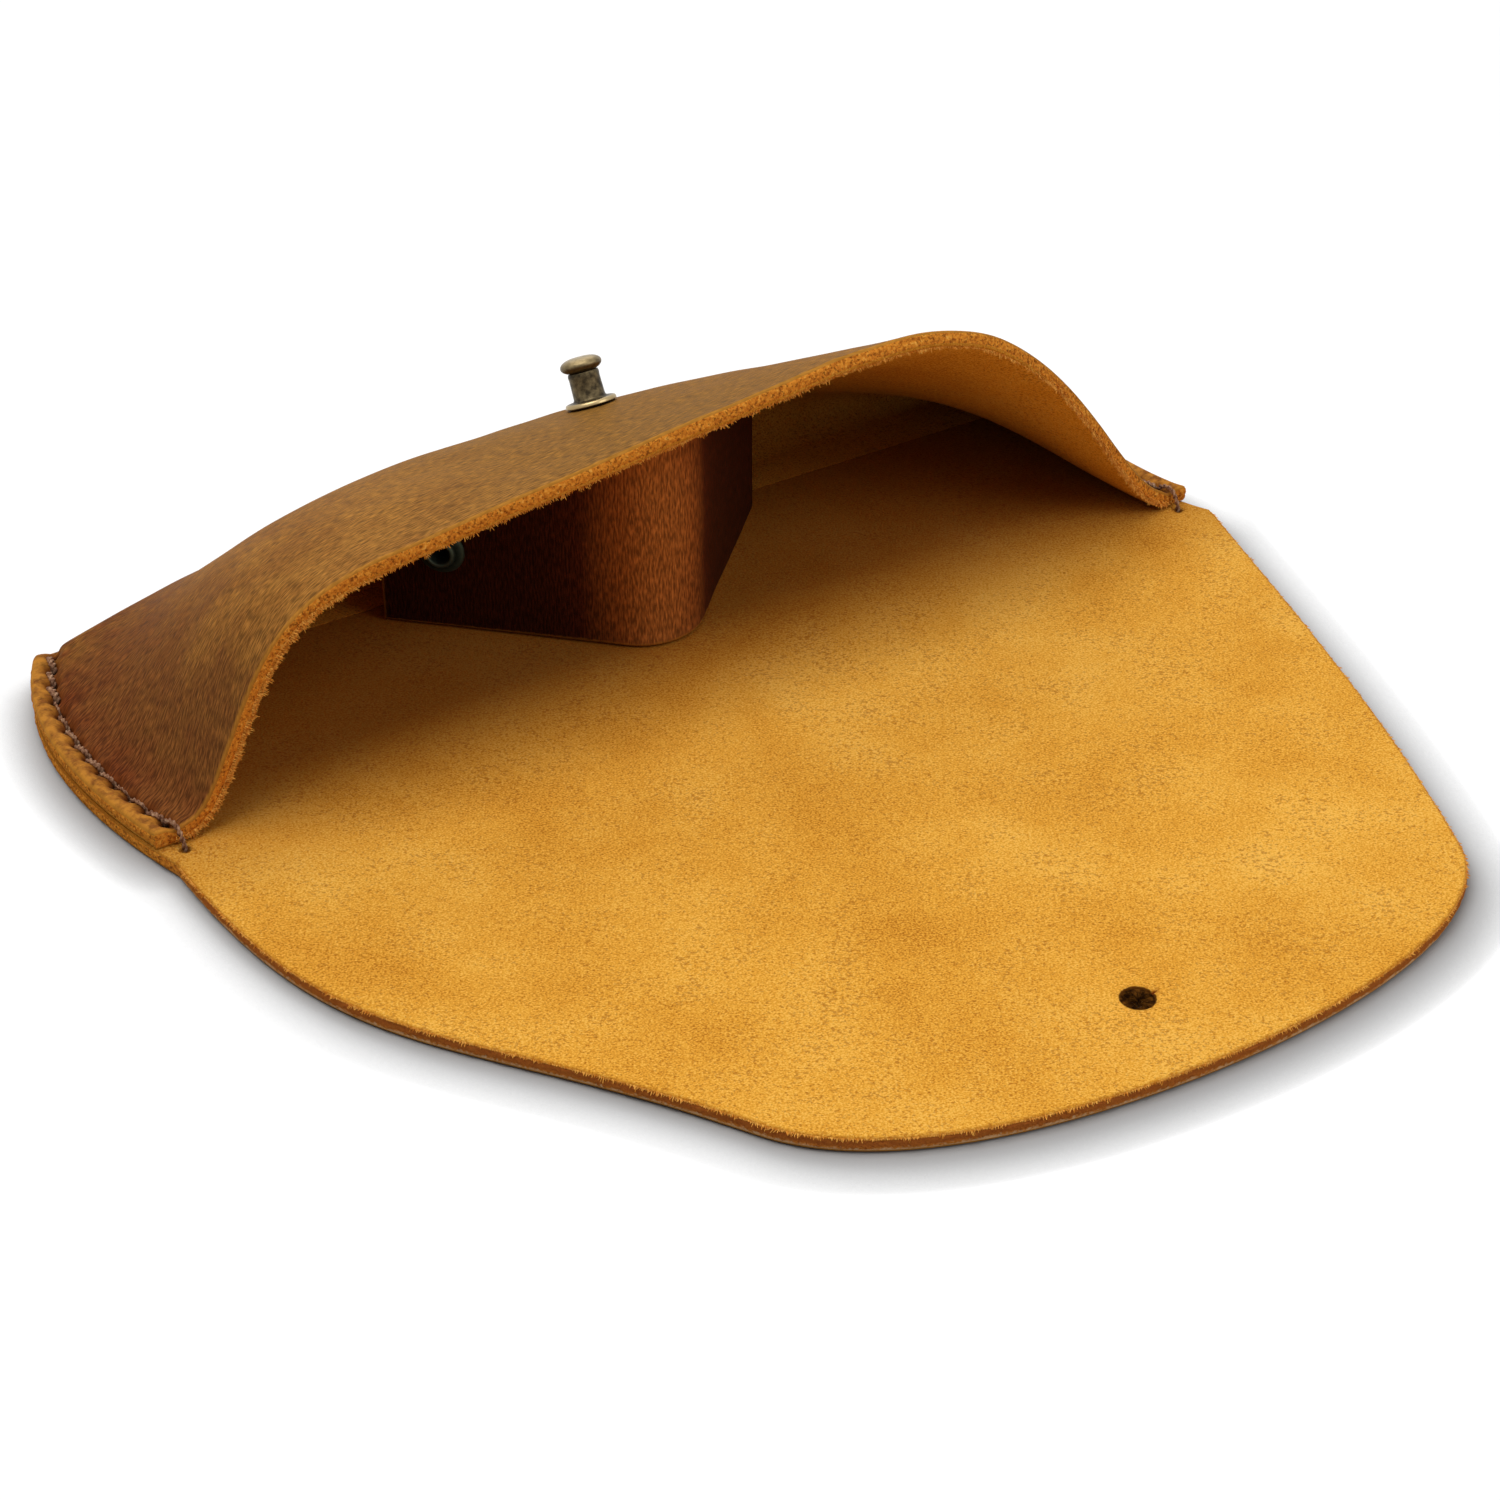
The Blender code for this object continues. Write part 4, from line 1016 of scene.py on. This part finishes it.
stitch_row = bpy.data.node_groups.new("stitch row", "GeometryNodeTree")
given = add_sockets(stitch_row, [("Stitch Pitch", "Float"), ("Facing", "Vector"), ("Seed", "Int")])
seam_curve = add_node(stitch_row, "GeometryNodeMeshToCurve", {"Mesh": given["Geometry"]})
stops = add_node(stitch_row, "GeometryNodeResampleCurve",
                 {"Curve": seam_curve, "Length": given["Stitch Pitch"]}, mode="LENGTH")
run = add_node(stitch_row, "GeometryNodeInputTangent")
turn = add_node(stitch_row, "FunctionNodeAxesToRotation",
                {"Primary Axis": given["Facing"], "Secondary Axis": run},
                primary_axis="Z", secondary_axis="X")
uneven = add_node(stitch_row, "FunctionNodeRandomValue",
                  {"Min": (0.97, 0.3, 0.85), "Max": (1.02, 1.5, 1.15), "Seed": given["Seed"]},
                  data_type="FLOAT_VECTOR")
shape = add_node(stitch_row, "GeometryNodeObjectInfo", {"Object": stitch}, out="Geometry")
copies = add_node(stitch_row, "GeometryNodeInstanceOnPoints",
                  {"Points": stops, "Instance": shape, "Rotation": turn, "Scale": uneven})
copies = add_node(stitch_row, "GeometryNodeRealizeInstances", {"Geometry": copies})
copies = add_node(stitch_row, "GeometryNodeSetMaterial", {"Geometry": copies, "Material": waxed_thread})
fill(stitch_row, stitch_row.nodes.new("NodeGroupOutput"), {"Geometry": copies})
print("stitch row nodes:", len(stitch_row.nodes))


def realised(name, line, tree, values, leans=None):
    """Plain mesh that a geometry tree makes from lines of points."""
    mesh = bpy.data.meshes.new(name)
    points, edges = [], []
    for run in line:
        edges += [(len(points) + k, len(points) + k + 1) for k in range(len(run) - 1)]
        points += [tuple(p) for p in run]
    mesh.from_pydata(points, edges, [])
    if leans is not None:
        lean = mesh.attributes.new("lean", "FLOAT_VECTOR", "POINT")
        lean.data.foreach_set("vector", np.concatenate(leans).astype(np.float32).ravel())
    carrier = add_object(name + "_path", mesh)
    modifier = carrier.modifiers.new("rows", "NODES")
    modifier.node_group = tree
    for item in tree.interface.items_tree:
        if item.in_out == "INPUT" and item.name in values:
            modifier[item.identifier] = values[item.name]
    bpy.context.view_layer.update()
    made = bpy.data.meshes.new_from_object(carrier.evaluated_get(bpy.context.evaluated_depsgraph_get()))
    made.name = name
    bpy.data.objects.remove(carrier)
    return made


# %% Sew the two seams
MARGIN_TOP = 2 * END_RADIUS
STITCH_SINK = 0.50 * MM
UNDER_LEVEL = 0.62 * MM
WRAP_YZ = [(-1.5, 1.2), (-1.45, 2.5), (-1.1, 3.5), (-0.6, 4.6), (0.0, 5.3), (0.9, 5.35), (1.8, 5.0),
           (2.3, 4.0)]


def smooth_path(points, steps=40):
    """Even, rounded path through a few points."""
    points = np.array(points, float)
    along = along_path(points)
    even = np.linspace(0, along[-1], steps)
    path = np.stack([np.interp(even, along, points[:, k]) for k in range(3)], axis=1)
    for _ in range(12):
        path[1:-1] = (path[:-2] + 2 * path[1:-1] + path[2:]) / 4
    return path


def mouth_wrap(side):
    """The last stitch, which comes up through the flesh side and bends over the mouth's corner."""
    ys, zs = np.array(WRAP_YZ).T * MM
    return smooth_path(np.c_[side * (half_width(ys, side) - SEAM_INSET), ys, zs])


threads = {}
for side, name in ((-1, "left_seam_thread"), (1, "right_seam_thread")):
    holes = SEAMS[side][2]
    parts = []
    for level, facing, first in ((MARGIN_TOP - STITCH_SINK, 1.0, 1), (UNDER_LEVEL, -1.0, 0)):
        mids = np.linspace(holes[first] + STITCH_PITCH / 2, holes[-1] - STITCH_PITCH / 2, 300)
        line = np.c_[on_seam(side, mids), np.full(len(mids), level)]
        values = {"Stitch Pitch": STITCH_PITCH * 0.999, "Facing": (0.0, 0.0, facing), "Seed": 7 + side}
        parts.append(realised(name + "_row", [line], stitch_row, values))
    parts.append(strand_mesh(name + "_wrap", [mouth_wrap(side)]))
    sewn = bmesh.new()
    for part in parts:
        sewn.from_mesh(part)
    mesh = smooth_mesh(name + "_sewn", sewn)
    mesh.materials.clear()
    mesh.materials.append(waxed_thread)
    thread = add_object(name + "_sewn", mesh)
    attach(thread, "pouch")
    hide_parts(name)
    threads[side] = thread
bpy.data.objects.remove(stitch)
print("thread faces:", {thread.name: len(thread.data.polygons) for thread in threads.values()})

# %% [markdown]
# ## Loose fibres along the cuts
#
# Where a knife leaves the flesh side, short golden fibres stand out in tufts. They catch the light along the
# mouth, and a finer fuzz of them lines the flap. In the button hole they are longer and dark, a painted shade
# that fills the deep hole. Each is a thin three-sided cone, drawn about three times as thick as a real fibre
# bundle so that it shows.
# Geometry Nodes scatter them along lines that follow the cut: a direction is stored on the line, a noise
# gathers them in tufts, and a fixed seed gives the disorder.

# %% Fibre material and tree
# The dark fibres only paint the shade deep in the button hole.
FIBRE_TONES = {"loose leather fibre": [(0.35, "#cc7c28"), (0.6, "#ecac4e")],
               "soiled leather fibre": [(0.4, "#2a1606"), (0.65, "#6b4114")]}
fibre_finishes = []
for name, tones in FIBRE_TONES.items():
    material, tree, shader = new_material(name)
    place = add_node(tree, "ShaderNodeTexCoord", out="Object")
    spots = add_node(tree, "ShaderNodeTexNoise",
                     {**NOISE, "Vector": place, "Scale": per_mm(0.7), "Detail": 2.0})
    tone = add_node(tree, "ShaderNodeValToRGB", {"Fac": spots}, stops=tones)
    fill(tree, shader, {"Base Color": tone, "Roughness": 0.9, "Specular IOR Level": 0.02})
    fibre_finishes.append(material)
loose_fibre, hole_shade_fibre = fibre_finishes

fibre_row = bpy.data.node_groups.new("fibre row", "GeometryNodeTree")
given = add_sockets(fibre_row, [("Spacing", "Float"), ("Shortest", "Float"), ("Longest", "Float"),
                                ("Fibre Width", "Float"), ("Tuft Size", "Float"), ("Spread", "Float"),
                                ("Fibre Material", "Material"), ("Seed", "Int")])
cut_line = add_node(fibre_row, "GeometryNodeMeshToCurve", {"Mesh": given["Geometry"]})
stops = add_node(fibre_row, "GeometryNodeResampleCurve", {"Curve": cut_line, "Length": given["Spacing"]},
                 mode="LENGTH")
lean = add_node(fibre_row, "GeometryNodeInputNamedAttribute", {"Name": "lean"}, data_type="FLOAT_VECTOR")
stray = add_node(fibre_row, "FunctionNodeRandomValue",
                 {"Min": (-1.0, -1.0, -1.0), "Max": (1.0, 1.0, 1.0), "Seed": given["Seed"]},
                 data_type="FLOAT_VECTOR")
stray = add_node(fibre_row, "ShaderNodeVectorMath", {"Vector": stray, "Scale": given["Spread"]},
                 operation="SCALE")
way = add_node(fibre_row, "ShaderNodeVectorMath", {"Vector": lean, "Vector_001": stray}, operation="ADD")
turn = add_node(fibre_row, "FunctionNodeAlignRotationToVector", {"Vector": way}, axis="Z")
per_tuft = add_node(fibre_row, "ShaderNodeMath", {"Value": 1.0, "Value_001": given["Tuft Size"]},
                    operation="DIVIDE")
tuft = add_node(fibre_row, "ShaderNodeTexNoise", {"Scale": per_tuft, "Detail": 1.0})
longest = add_node(fibre_row, "ShaderNodeMapRange", {"Value": tuft, "From Min": 0.38, "From Max": 0.65,
                                                     "To Min": given["Shortest"], "To Max": given["Longest"]})
length = add_node(fibre_row, "FunctionNodeRandomValue",
                  {"Min_001": given["Shortest"], "Max_001": longest, "Seed": given["Seed"]},
                  out="Value_001", data_type="FLOAT")
width = given["Fibre Width"]
size = add_node(fibre_row, "ShaderNodeCombineXYZ", {"X": width, "Y": width, "Z": length})
cone = add_node(fibre_row, "GeometryNodeMeshCone", {"Vertices": 3, "Radius Top": 0.15, "Radius Bottom": 0.5,
                                                    "Depth": 1.0})
copies = add_node(fibre_row, "GeometryNodeInstanceOnPoints",
                  {"Points": stops, "Instance": cone, "Rotation": turn, "Scale": size})
copies = add_node(fibre_row, "GeometryNodeRealizeInstances", {"Geometry": copies})
copies = add_node(fibre_row, "GeometryNodeSetMaterial",
                  {"Geometry": copies, "Material": given["Fibre Material"]})
fill(fibre_row, fibre_row.nodes.new("NodeGroupOutput"), {"Geometry": copies})
print("fibre row nodes:", len(fibre_row.nodes))

# %% Fibres at the mouth
CONE_FACES = 5


def fibre_piece(name, lines, leans, values):
    """Object with the fibres that stand along lines."""
    values = {"Spread": 0.6, "Fibre Material": loose_fibre, "Seed": 3, **values}
    mesh = realised(name, lines, fibre_row, values, leans)
    piece = add_object(name, mesh)
    print(name, "fibres:", len(mesh.polygons) // CONE_FACES)
    return piece


mouth_t = np.linspace(-0.968, 0.968, 700)
edge_points = panel_point(mouth_t, np.zeros_like(mouth_t))
edge_normals = panel_normal(mouth_t, np.zeros_like(mouth_t))
outwards = unit(panel_point(mouth_t, 0) - panel_point(mouth_t, 0.004))
# The closed flap lies on the crest and flattens the fibres there
pressed_in = rise(edge_points[:, 2:], 30 * MM, 7 * MM)
lines, leans = [], []
for depth in (0.70, 0.82, 0.92, 1.0):
    lines.append(edge_points - edge_normals * HIDE * depth + outwards * (0.02 - 0.45 * pressed_in) * MM)
    leans.append(outwards * (1.1 - depth * 0.8) * (1 - pressed_in) - edge_normals * depth)
mouth_fibres = fibre_piece("mouth_fibres", lines, leans, {
    "Spacing": 0.12 * MM, "Shortest": 0.25 * MM, "Longest": 1.0 * MM, "Fibre Width": 0.20 * MM,
    "Tuft Size": 0.9 * MM})
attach(mouth_fibres, "pouch")

# %% Fuzz on the flap's edge and the button hole
FUZZ = {"Spacing": 0.18 * MM, "Shortest": 0.2 * MM, "Longest": 0.75 * MM, "Fibre Width": 0.2 * MM,
        "Tuft Size": 1.5 * MM}


def edge_fuzz(name, strips):
    """Fuzz along the flesh side of flat edges, given as points and inward directions."""
    lines = [np.c_[line + into * 0.05 * MM, np.full(len(line), HIDE - 0.2 * MM)] for line, into in strips]
    return fibre_piece(name, lines, [np.c_[-into, np.full(len(into), -0.6)] for _, into in strips], FUZZ)


free_root = FIRST_HOLE_Y - 3 * MM
root_strips = []
for line, into in (edge_strip(0, 1), edge_strip(5, 6)):
    front = line[:, 1] < free_root
    root_strips.append((line[front], into[front]))
around = np.linspace(0, 2 * np.pi, 91)
hole_round = np.c_[np.cos(around), np.sin(around)]
hole_levels = np.linspace(0.6, 1.8, 6) * MM
hole_fibres = fibre_piece(
    "button_hole_fibres",
    [np.c_[HOLE_CENTRE + hole_round * HOLE_RADIUS, np.full(len(around), level)] for level in hole_levels],
    [np.c_[-hole_round, np.full(len(around), 0.1 - 0.15 * level / MM)] for level in hole_levels],
    {"Spacing": 0.10 * MM, "Shortest": 1.0 * MM, "Longest": 2.3 * MM, "Fibre Width": 0.17 * MM,
     "Tuft Size": 0.9 * MM, "Spread": 0.2, "Fibre Material": hole_shade_fibre})
fuzz_pieces = [edge_fuzz("flap_root_fuzz", root_strips),
               edge_fuzz("flap_fold_fuzz", [edge_strip(1, 2), edge_strip(4, 5)]),
               edge_fuzz("flap_tip_fuzz", [edge_strip(2, 4)]), hole_fibres]
for piece, (bodies, start, end) in zip(fuzz_pieces, FOLDS + FOLDS[-1:]):
    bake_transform(piece)

# %% [markdown]
# ## Nose band
#
# Inside stands a second strip of leather, 1.8 mm thick, bent into a nose form that holds the pouch open. Its
# ends lap on the left leg and a tubular rivet holds them. The strip is the same sheet builder again: the path
# in plan gives the columns, and the height up to the sloping front gives the rows. Light is painted on the
# front of the nose, where the lamp in front falls on it, and shade on its legs, which are painted dark.

# %% Nose band path
BAND = 1.8 * MM
GAP = 0.3 * MM
NOSE_X = -4.0 * MM
NOSE_FRONT_Y = 7.0 * MM
NOSE_RADIUS = 9.0 * MM
BAND_BACK_Y = 39.0 * MM
BAND_CORNER = 3.0 * MM
LAP_START = 5.0 * MM
LAP_END = 35.5 * MM
ROOF_GAP = 1.0 * MM
SLANT = math.sin(math.radians(45))

RIVET_ALONG = 26.2 * MM
RIVET_Z = 15.0 * MM
RIVET_HOLE = 1.7 * MM

bend = NOSE_RADIUS - BAND / 2
left_way, right_way = np.array((-SLANT, SLANT)), np.array((SLANT, SLANT))
apex = np.array((NOSE_X, NOSE_FRONT_Y + NOSE_RADIUS - bend / SLANT))
inner_apex = apex + right_way * (BAND + GAP)
bend_end = apex + left_way * bend
rivet_out = np.array((-SLANT, -SLANT, 0))
rivet_place = bend_end + left_way * RIVET_ALONG - right_way * BAND / 2
band_corners = [
    bend_end + right_way * (BAND + GAP) + left_way * LAP_START,
    inner_apex + left_way * (BAND_BACK_Y - inner_apex[1]) / SLANT,
    apex + right_way * (BAND_BACK_Y - apex[1]) / SLANT,
    apex,
    bend_end + left_way * LAP_END,
]


def filleted(corners, radii, steps=14):
    """Plan path through corners, each but the first and last rounded to its radius."""
    path = [corners[0]]
    for before, corner, after, radius in zip(corners, corners[1:], corners[2:], radii):
        into, leave = ((b - a) / np.linalg.norm(b - a) for a, b in ((before, corner), (corner, after)))
        turn = math.acos(np.clip(into @ leave, -1, 1))
        side = np.sign(into[0] * leave[1] - into[1] * leave[0])
        start = corner - into * radius * math.tan(turn / 2)
        centre = start + np.array((-into[1], into[0])) * radius * side
        for angle in np.linspace(0, side * turn, steps + 1):
            c, s = math.cos(angle), math.sin(angle)
            path.append(centre + np.array(((c, -s), (s, c))) @ (start - centre))
    return np.array(path + [corners[-1]])


band_path = filleted(band_corners, [BAND_CORNER, BAND_CORNER, bend])[::-1]
print("band length in mm:", round(along_path(band_path)[-1] / MM))

# %% Nose band
BAND_HEIGHT = 24 * MM  # about; it scales the rows along the upper and lower edge
BAND_SPACING = 0.6 * MM
# Its dark ramp end paints the shade on the legs, its pale end the light on the nose.
band_grain = wrinkled_grain(
    "waxed band leather, grain side",
    [(0.0, "#261006"), (0.35, "#48200f"), (0.7, "#8c4e22"), (1.0, "#a4622c")], 0.62, mottle=0.2)
band_flesh = napped_flesh(
    "band leather, napped flesh side",
    [(0.60, "#5f3612"), (0.75, "#8a551f"), (0.88, "#a36a28"), (1.0, "#b97d33")], "#5f3612")


def roof_height(x, y):
    """Height of the front panel's inner face above a plan point."""
    t, s = panel_place(x, y)
    return panel_point(t, s)[2] - HIDE / panel_normal(t, s)[2]


along = along_path(band_path)
span = along[-1]
stops = np.r_[EDGE_STEPS,
              np.linspace(EDGE_STEPS[-1], span - EDGE_STEPS[-1], round(span / BAND_SPACING))[1:-1],
              span - EDGE_STEPS[::-1]]
middle = np.c_[np.interp(stops, along, band_path[:, 0]), np.interp(stops, along, band_path[:, 1])]
run = unit(np.gradient(middle, stops, axis=0))
for _ in range(3):
    run[1:-1] = (run[:-2] + 2 * run[1:-1] + run[2:]) / 4
run = unit(run)
facing = np.c_[run[:, 1], -run[:, 0]]
outer, inner = middle + facing * BAND / 2, middle - facing * BAND / 2
tops = np.array([min(roof_height(*a), roof_height(*b)) - ROOF_GAP for a, b in zip(outer, inner)])
foot = HIDE + GAP
edge_levels = EDGE_STEPS / BAND_HEIGHT
levels = np.r_[edge_levels, np.linspace(edge_levels[-1], 1 - edge_levels[-1], 30)[1:-1],
               1 - edge_levels[::-1]]
heights = foot + (tops - foot)[None] * levels[:, None]
grid = np.dstack([np.broadcast_to(outer[:, k], heights.shape) for k in (0, 1)] + [heights])
normals = np.broadcast_to(np.c_[facing, np.zeros(len(facing))], grid.shape).reshape(-1, 3)
ends_gap = np.minimum(stops, span - stops)
band_rim = np.minimum(np.minimum(levels, 1 - levels)[:, None] * BAND_HEIGHT, ends_gap[None]).ravel()
band_uv = np.stack(np.broadcast_arrays(heights, stops[None]), axis=-1).reshape(-1, 2)
points = grid.reshape(-1, 3)
lumps = np.array([0.12 * rough(p, 9 * MM) for p in points]) * MM
points = points + normals * lumps[:, None]
from_rivet = points - (*rivet_place, RIVET_Z)
from_rivet -= (from_rivet @ rivet_out)[:, None] * rivet_out
pierced = np.linalg.norm(from_rivet, axis=1) < RIVET_HOLE
faces = np.array([face for face in grid_faces(len(levels), len(stops)) if not pierced[face].any()])
used, faces = np.unique(faces, return_inverse=True)
# painted light on the front of the nose, falling off to painted shade on the legs; it goes into the grain's
# pull mark
lit_nose_stop = stops[middle[:, 1].argmin()] - 2.5 * MM
painted_nose_light = -0.1 + 0.85 * np.exp(-(((stops - lit_nose_stop) / (9.5 * MM)) ** 2))
band_light = np.broadcast_to(painted_nose_light, heights.shape).ravel()
nose_band = leather_sheet("nose_band_leather", points[used], normals[used], faces.reshape(-1, 4).tolist(),
                          band_rim[used], BAND, band_uv[used], {"stretch_and_light": band_light[used]},
                          [band_grain, band_flesh, cut_edge])
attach(nose_band, "pouch")
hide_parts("nose_band")

# %% [markdown]
# ## Metal: stud, screw, rivet and washer
#
# The stud and the rivet are turned brass with an antique finish: dipped dark, then rubbed so that the high
# places shine again. A profile spun round its axis gives such a part. Each profile point carries how worn it
# is, and the material mixes dark patina and bright brass by that and by noise.

# %% Antique brass materials
def antique_brass(name, patina, bright, roughness):
    """Dark dipped brass, rubbed bright on its high places."""
    material, tree, shader = new_material(name)
    place = add_node(tree, "ShaderNodeTexCoord", out="Object")
    worn = add_node(tree, **STORED, attribute_name="worn")
    spots, pits = (
        add_node(tree, "ShaderNodeTexNoise",
                 {**NOISE, "Vector": place, "Scale": per_mm(size), "Detail": detail})
        for size, detail in ((0.9, 5.0), (0.35, 3.0)))
    level = add_node(tree, inputs={"Value": spots, "Value_001": 0.9, "Value_002": worn}, **SUM)
    level = add_node(tree, "ShaderNodeMapRange", {"Value": level, "From Min": 0.35, "From Max": 1.3})
    colour = add_node(tree, "ShaderNodeValToRGB", {"Fac": level}, stops=[(0.0, patina), (1.0, bright)])
    gloss = add_node(tree, "ShaderNodeMapRange",
                     {"Value": level, "To Min": roughness + 0.18, "To Max": roughness})
    bump = add_node(tree, "ShaderNodeBump", {"Height": pits, "Strength": 0.35, "Distance": 0.06 * MM})
    fill(tree, shader, {"Base Color": colour, "Metallic": 1.0, "Roughness": gloss, "Normal": bump})
    return material


stud_brass = antique_brass("antique brass", "#332c20", "#a8936a", 0.32)
rivet_brass = antique_brass("dark green antique brass", "#1c211a", "#424a3e", 0.58)
print("materials:", stud_brass.name, "and", rivet_brass.name)

# %% Turned metal pieces
ROUND_STEPS = 56


def turned(name, profile, placement, material):
    """Spins (radius, height, worn) points in millimetres round Z and places the result."""
    shape = bmesh.new()
    worn = shape.verts.layers.float.new("worn")
    line = []
    for radius, height, wear in profile:
        vertex = shape.verts.new((radius * MM, 0, height * MM))
        vertex[worn] = wear
        line.append(vertex)
    edges = [shape.edges.new(pair) for pair in zip(line, line[1:])]
    bmesh.ops.spin(shape, geom=line + edges, axis=(0, 0, 1), cent=(0, 0, 0), angle=2 * math.pi,
                   steps=ROUND_STEPS)
    bmesh.ops.remove_doubles(shape, verts=shape.verts, dist=1e-7)
    bmesh.ops.recalc_face_normals(shape, faces=shape.faces)
    mesh = smooth_mesh(name, shape)
    mesh.transform(placement)
    mesh.materials.append(material)
    mesh.set_sharp_from_angle(angle=math.radians(45))
    piece = add_object(name, mesh)
    print(name, "faces:", len(mesh.polygons))
    return piece


def placed_along(axis, origin):
    """Placement whose Z runs along an axis."""
    return Matrix.Translation(origin) @ Vector(axis).to_track_quat("Z", "Y").to_matrix().to_4x4()


STUD_Y = 35.4 * MM
place = panel_place(0.0, STUD_Y)
stud_frame = placed_along(panel_normal(*place), panel_point(*place))
dome = [(3.05 * math.cos(a) ** 0.7, 6.05 + 1.15 * math.sin(a), 0.2 + 0.45 * max(0, math.sin(a)))
        for a in np.radians(np.linspace(-62, 84, 16))]
stud_profile = [
    (0, 0.1, 0), (3.5, 0.1, 0), (3.75, 0.3, 0.7), (3.75, 0.6, 1.0), (3.62, 0.82, 1.0), (3.35, 0.9, 0.4),
    (2.9, 0.92, 0), (2.5, 1.02, 0), (2.32, 1.3, 0), (2.27, 2.8, 0.05), (2.25, 4.2, 0.05), (2.3, 4.6, 0),
    (2.2, 5.0, 0), *dome, (0, 7.2, 0.65),
]
stud = turned("button_stud_turned", stud_profile, stud_frame, stud_brass)
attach(stud, "pouch")
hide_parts("button_stud")

# %% Rivet in the nose band
rivet_frame = placed_along(rivet_out, (*rivet_place, RIVET_Z))
rivet_profile = [
    (1.5, 1.45, 0.3), (1.5, -5.2, 0), (2.7, -5.2, 0.1), (2.9, -5.05, 0.2), (2.7, -4.85, 0.1), (2.0, -4.85, 0),
    (2.0, 0.05, 0), (3.2, 0.05, 0), (3.4, 0.3, 0.3), (3.4, 0.5, 0.6), (3.25, 0.7, 0.7), (2.6, 0.82, 0.1),
    (2.3, 0.95, 0), (2.25, 1.3, 0.3), (2.1, 1.58, 0.9), (1.85, 1.66, 1.0), (1.6, 1.6, 0.8), (1.5, 1.45, 0.3),
]
rivet = turned("band_rivet_turned", rivet_profile, rivet_frame, rivet_brass)
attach(rivet, "pouch")
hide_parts("band_rivet")
for node, material in (("stud_screw", stud_brass), ("band_rivet_washer", rivet_brass)):
    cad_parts[node].material_slots[0].material = material
print("CAD nodes kept:", ["stud_screw", "band_rivet_washer"])
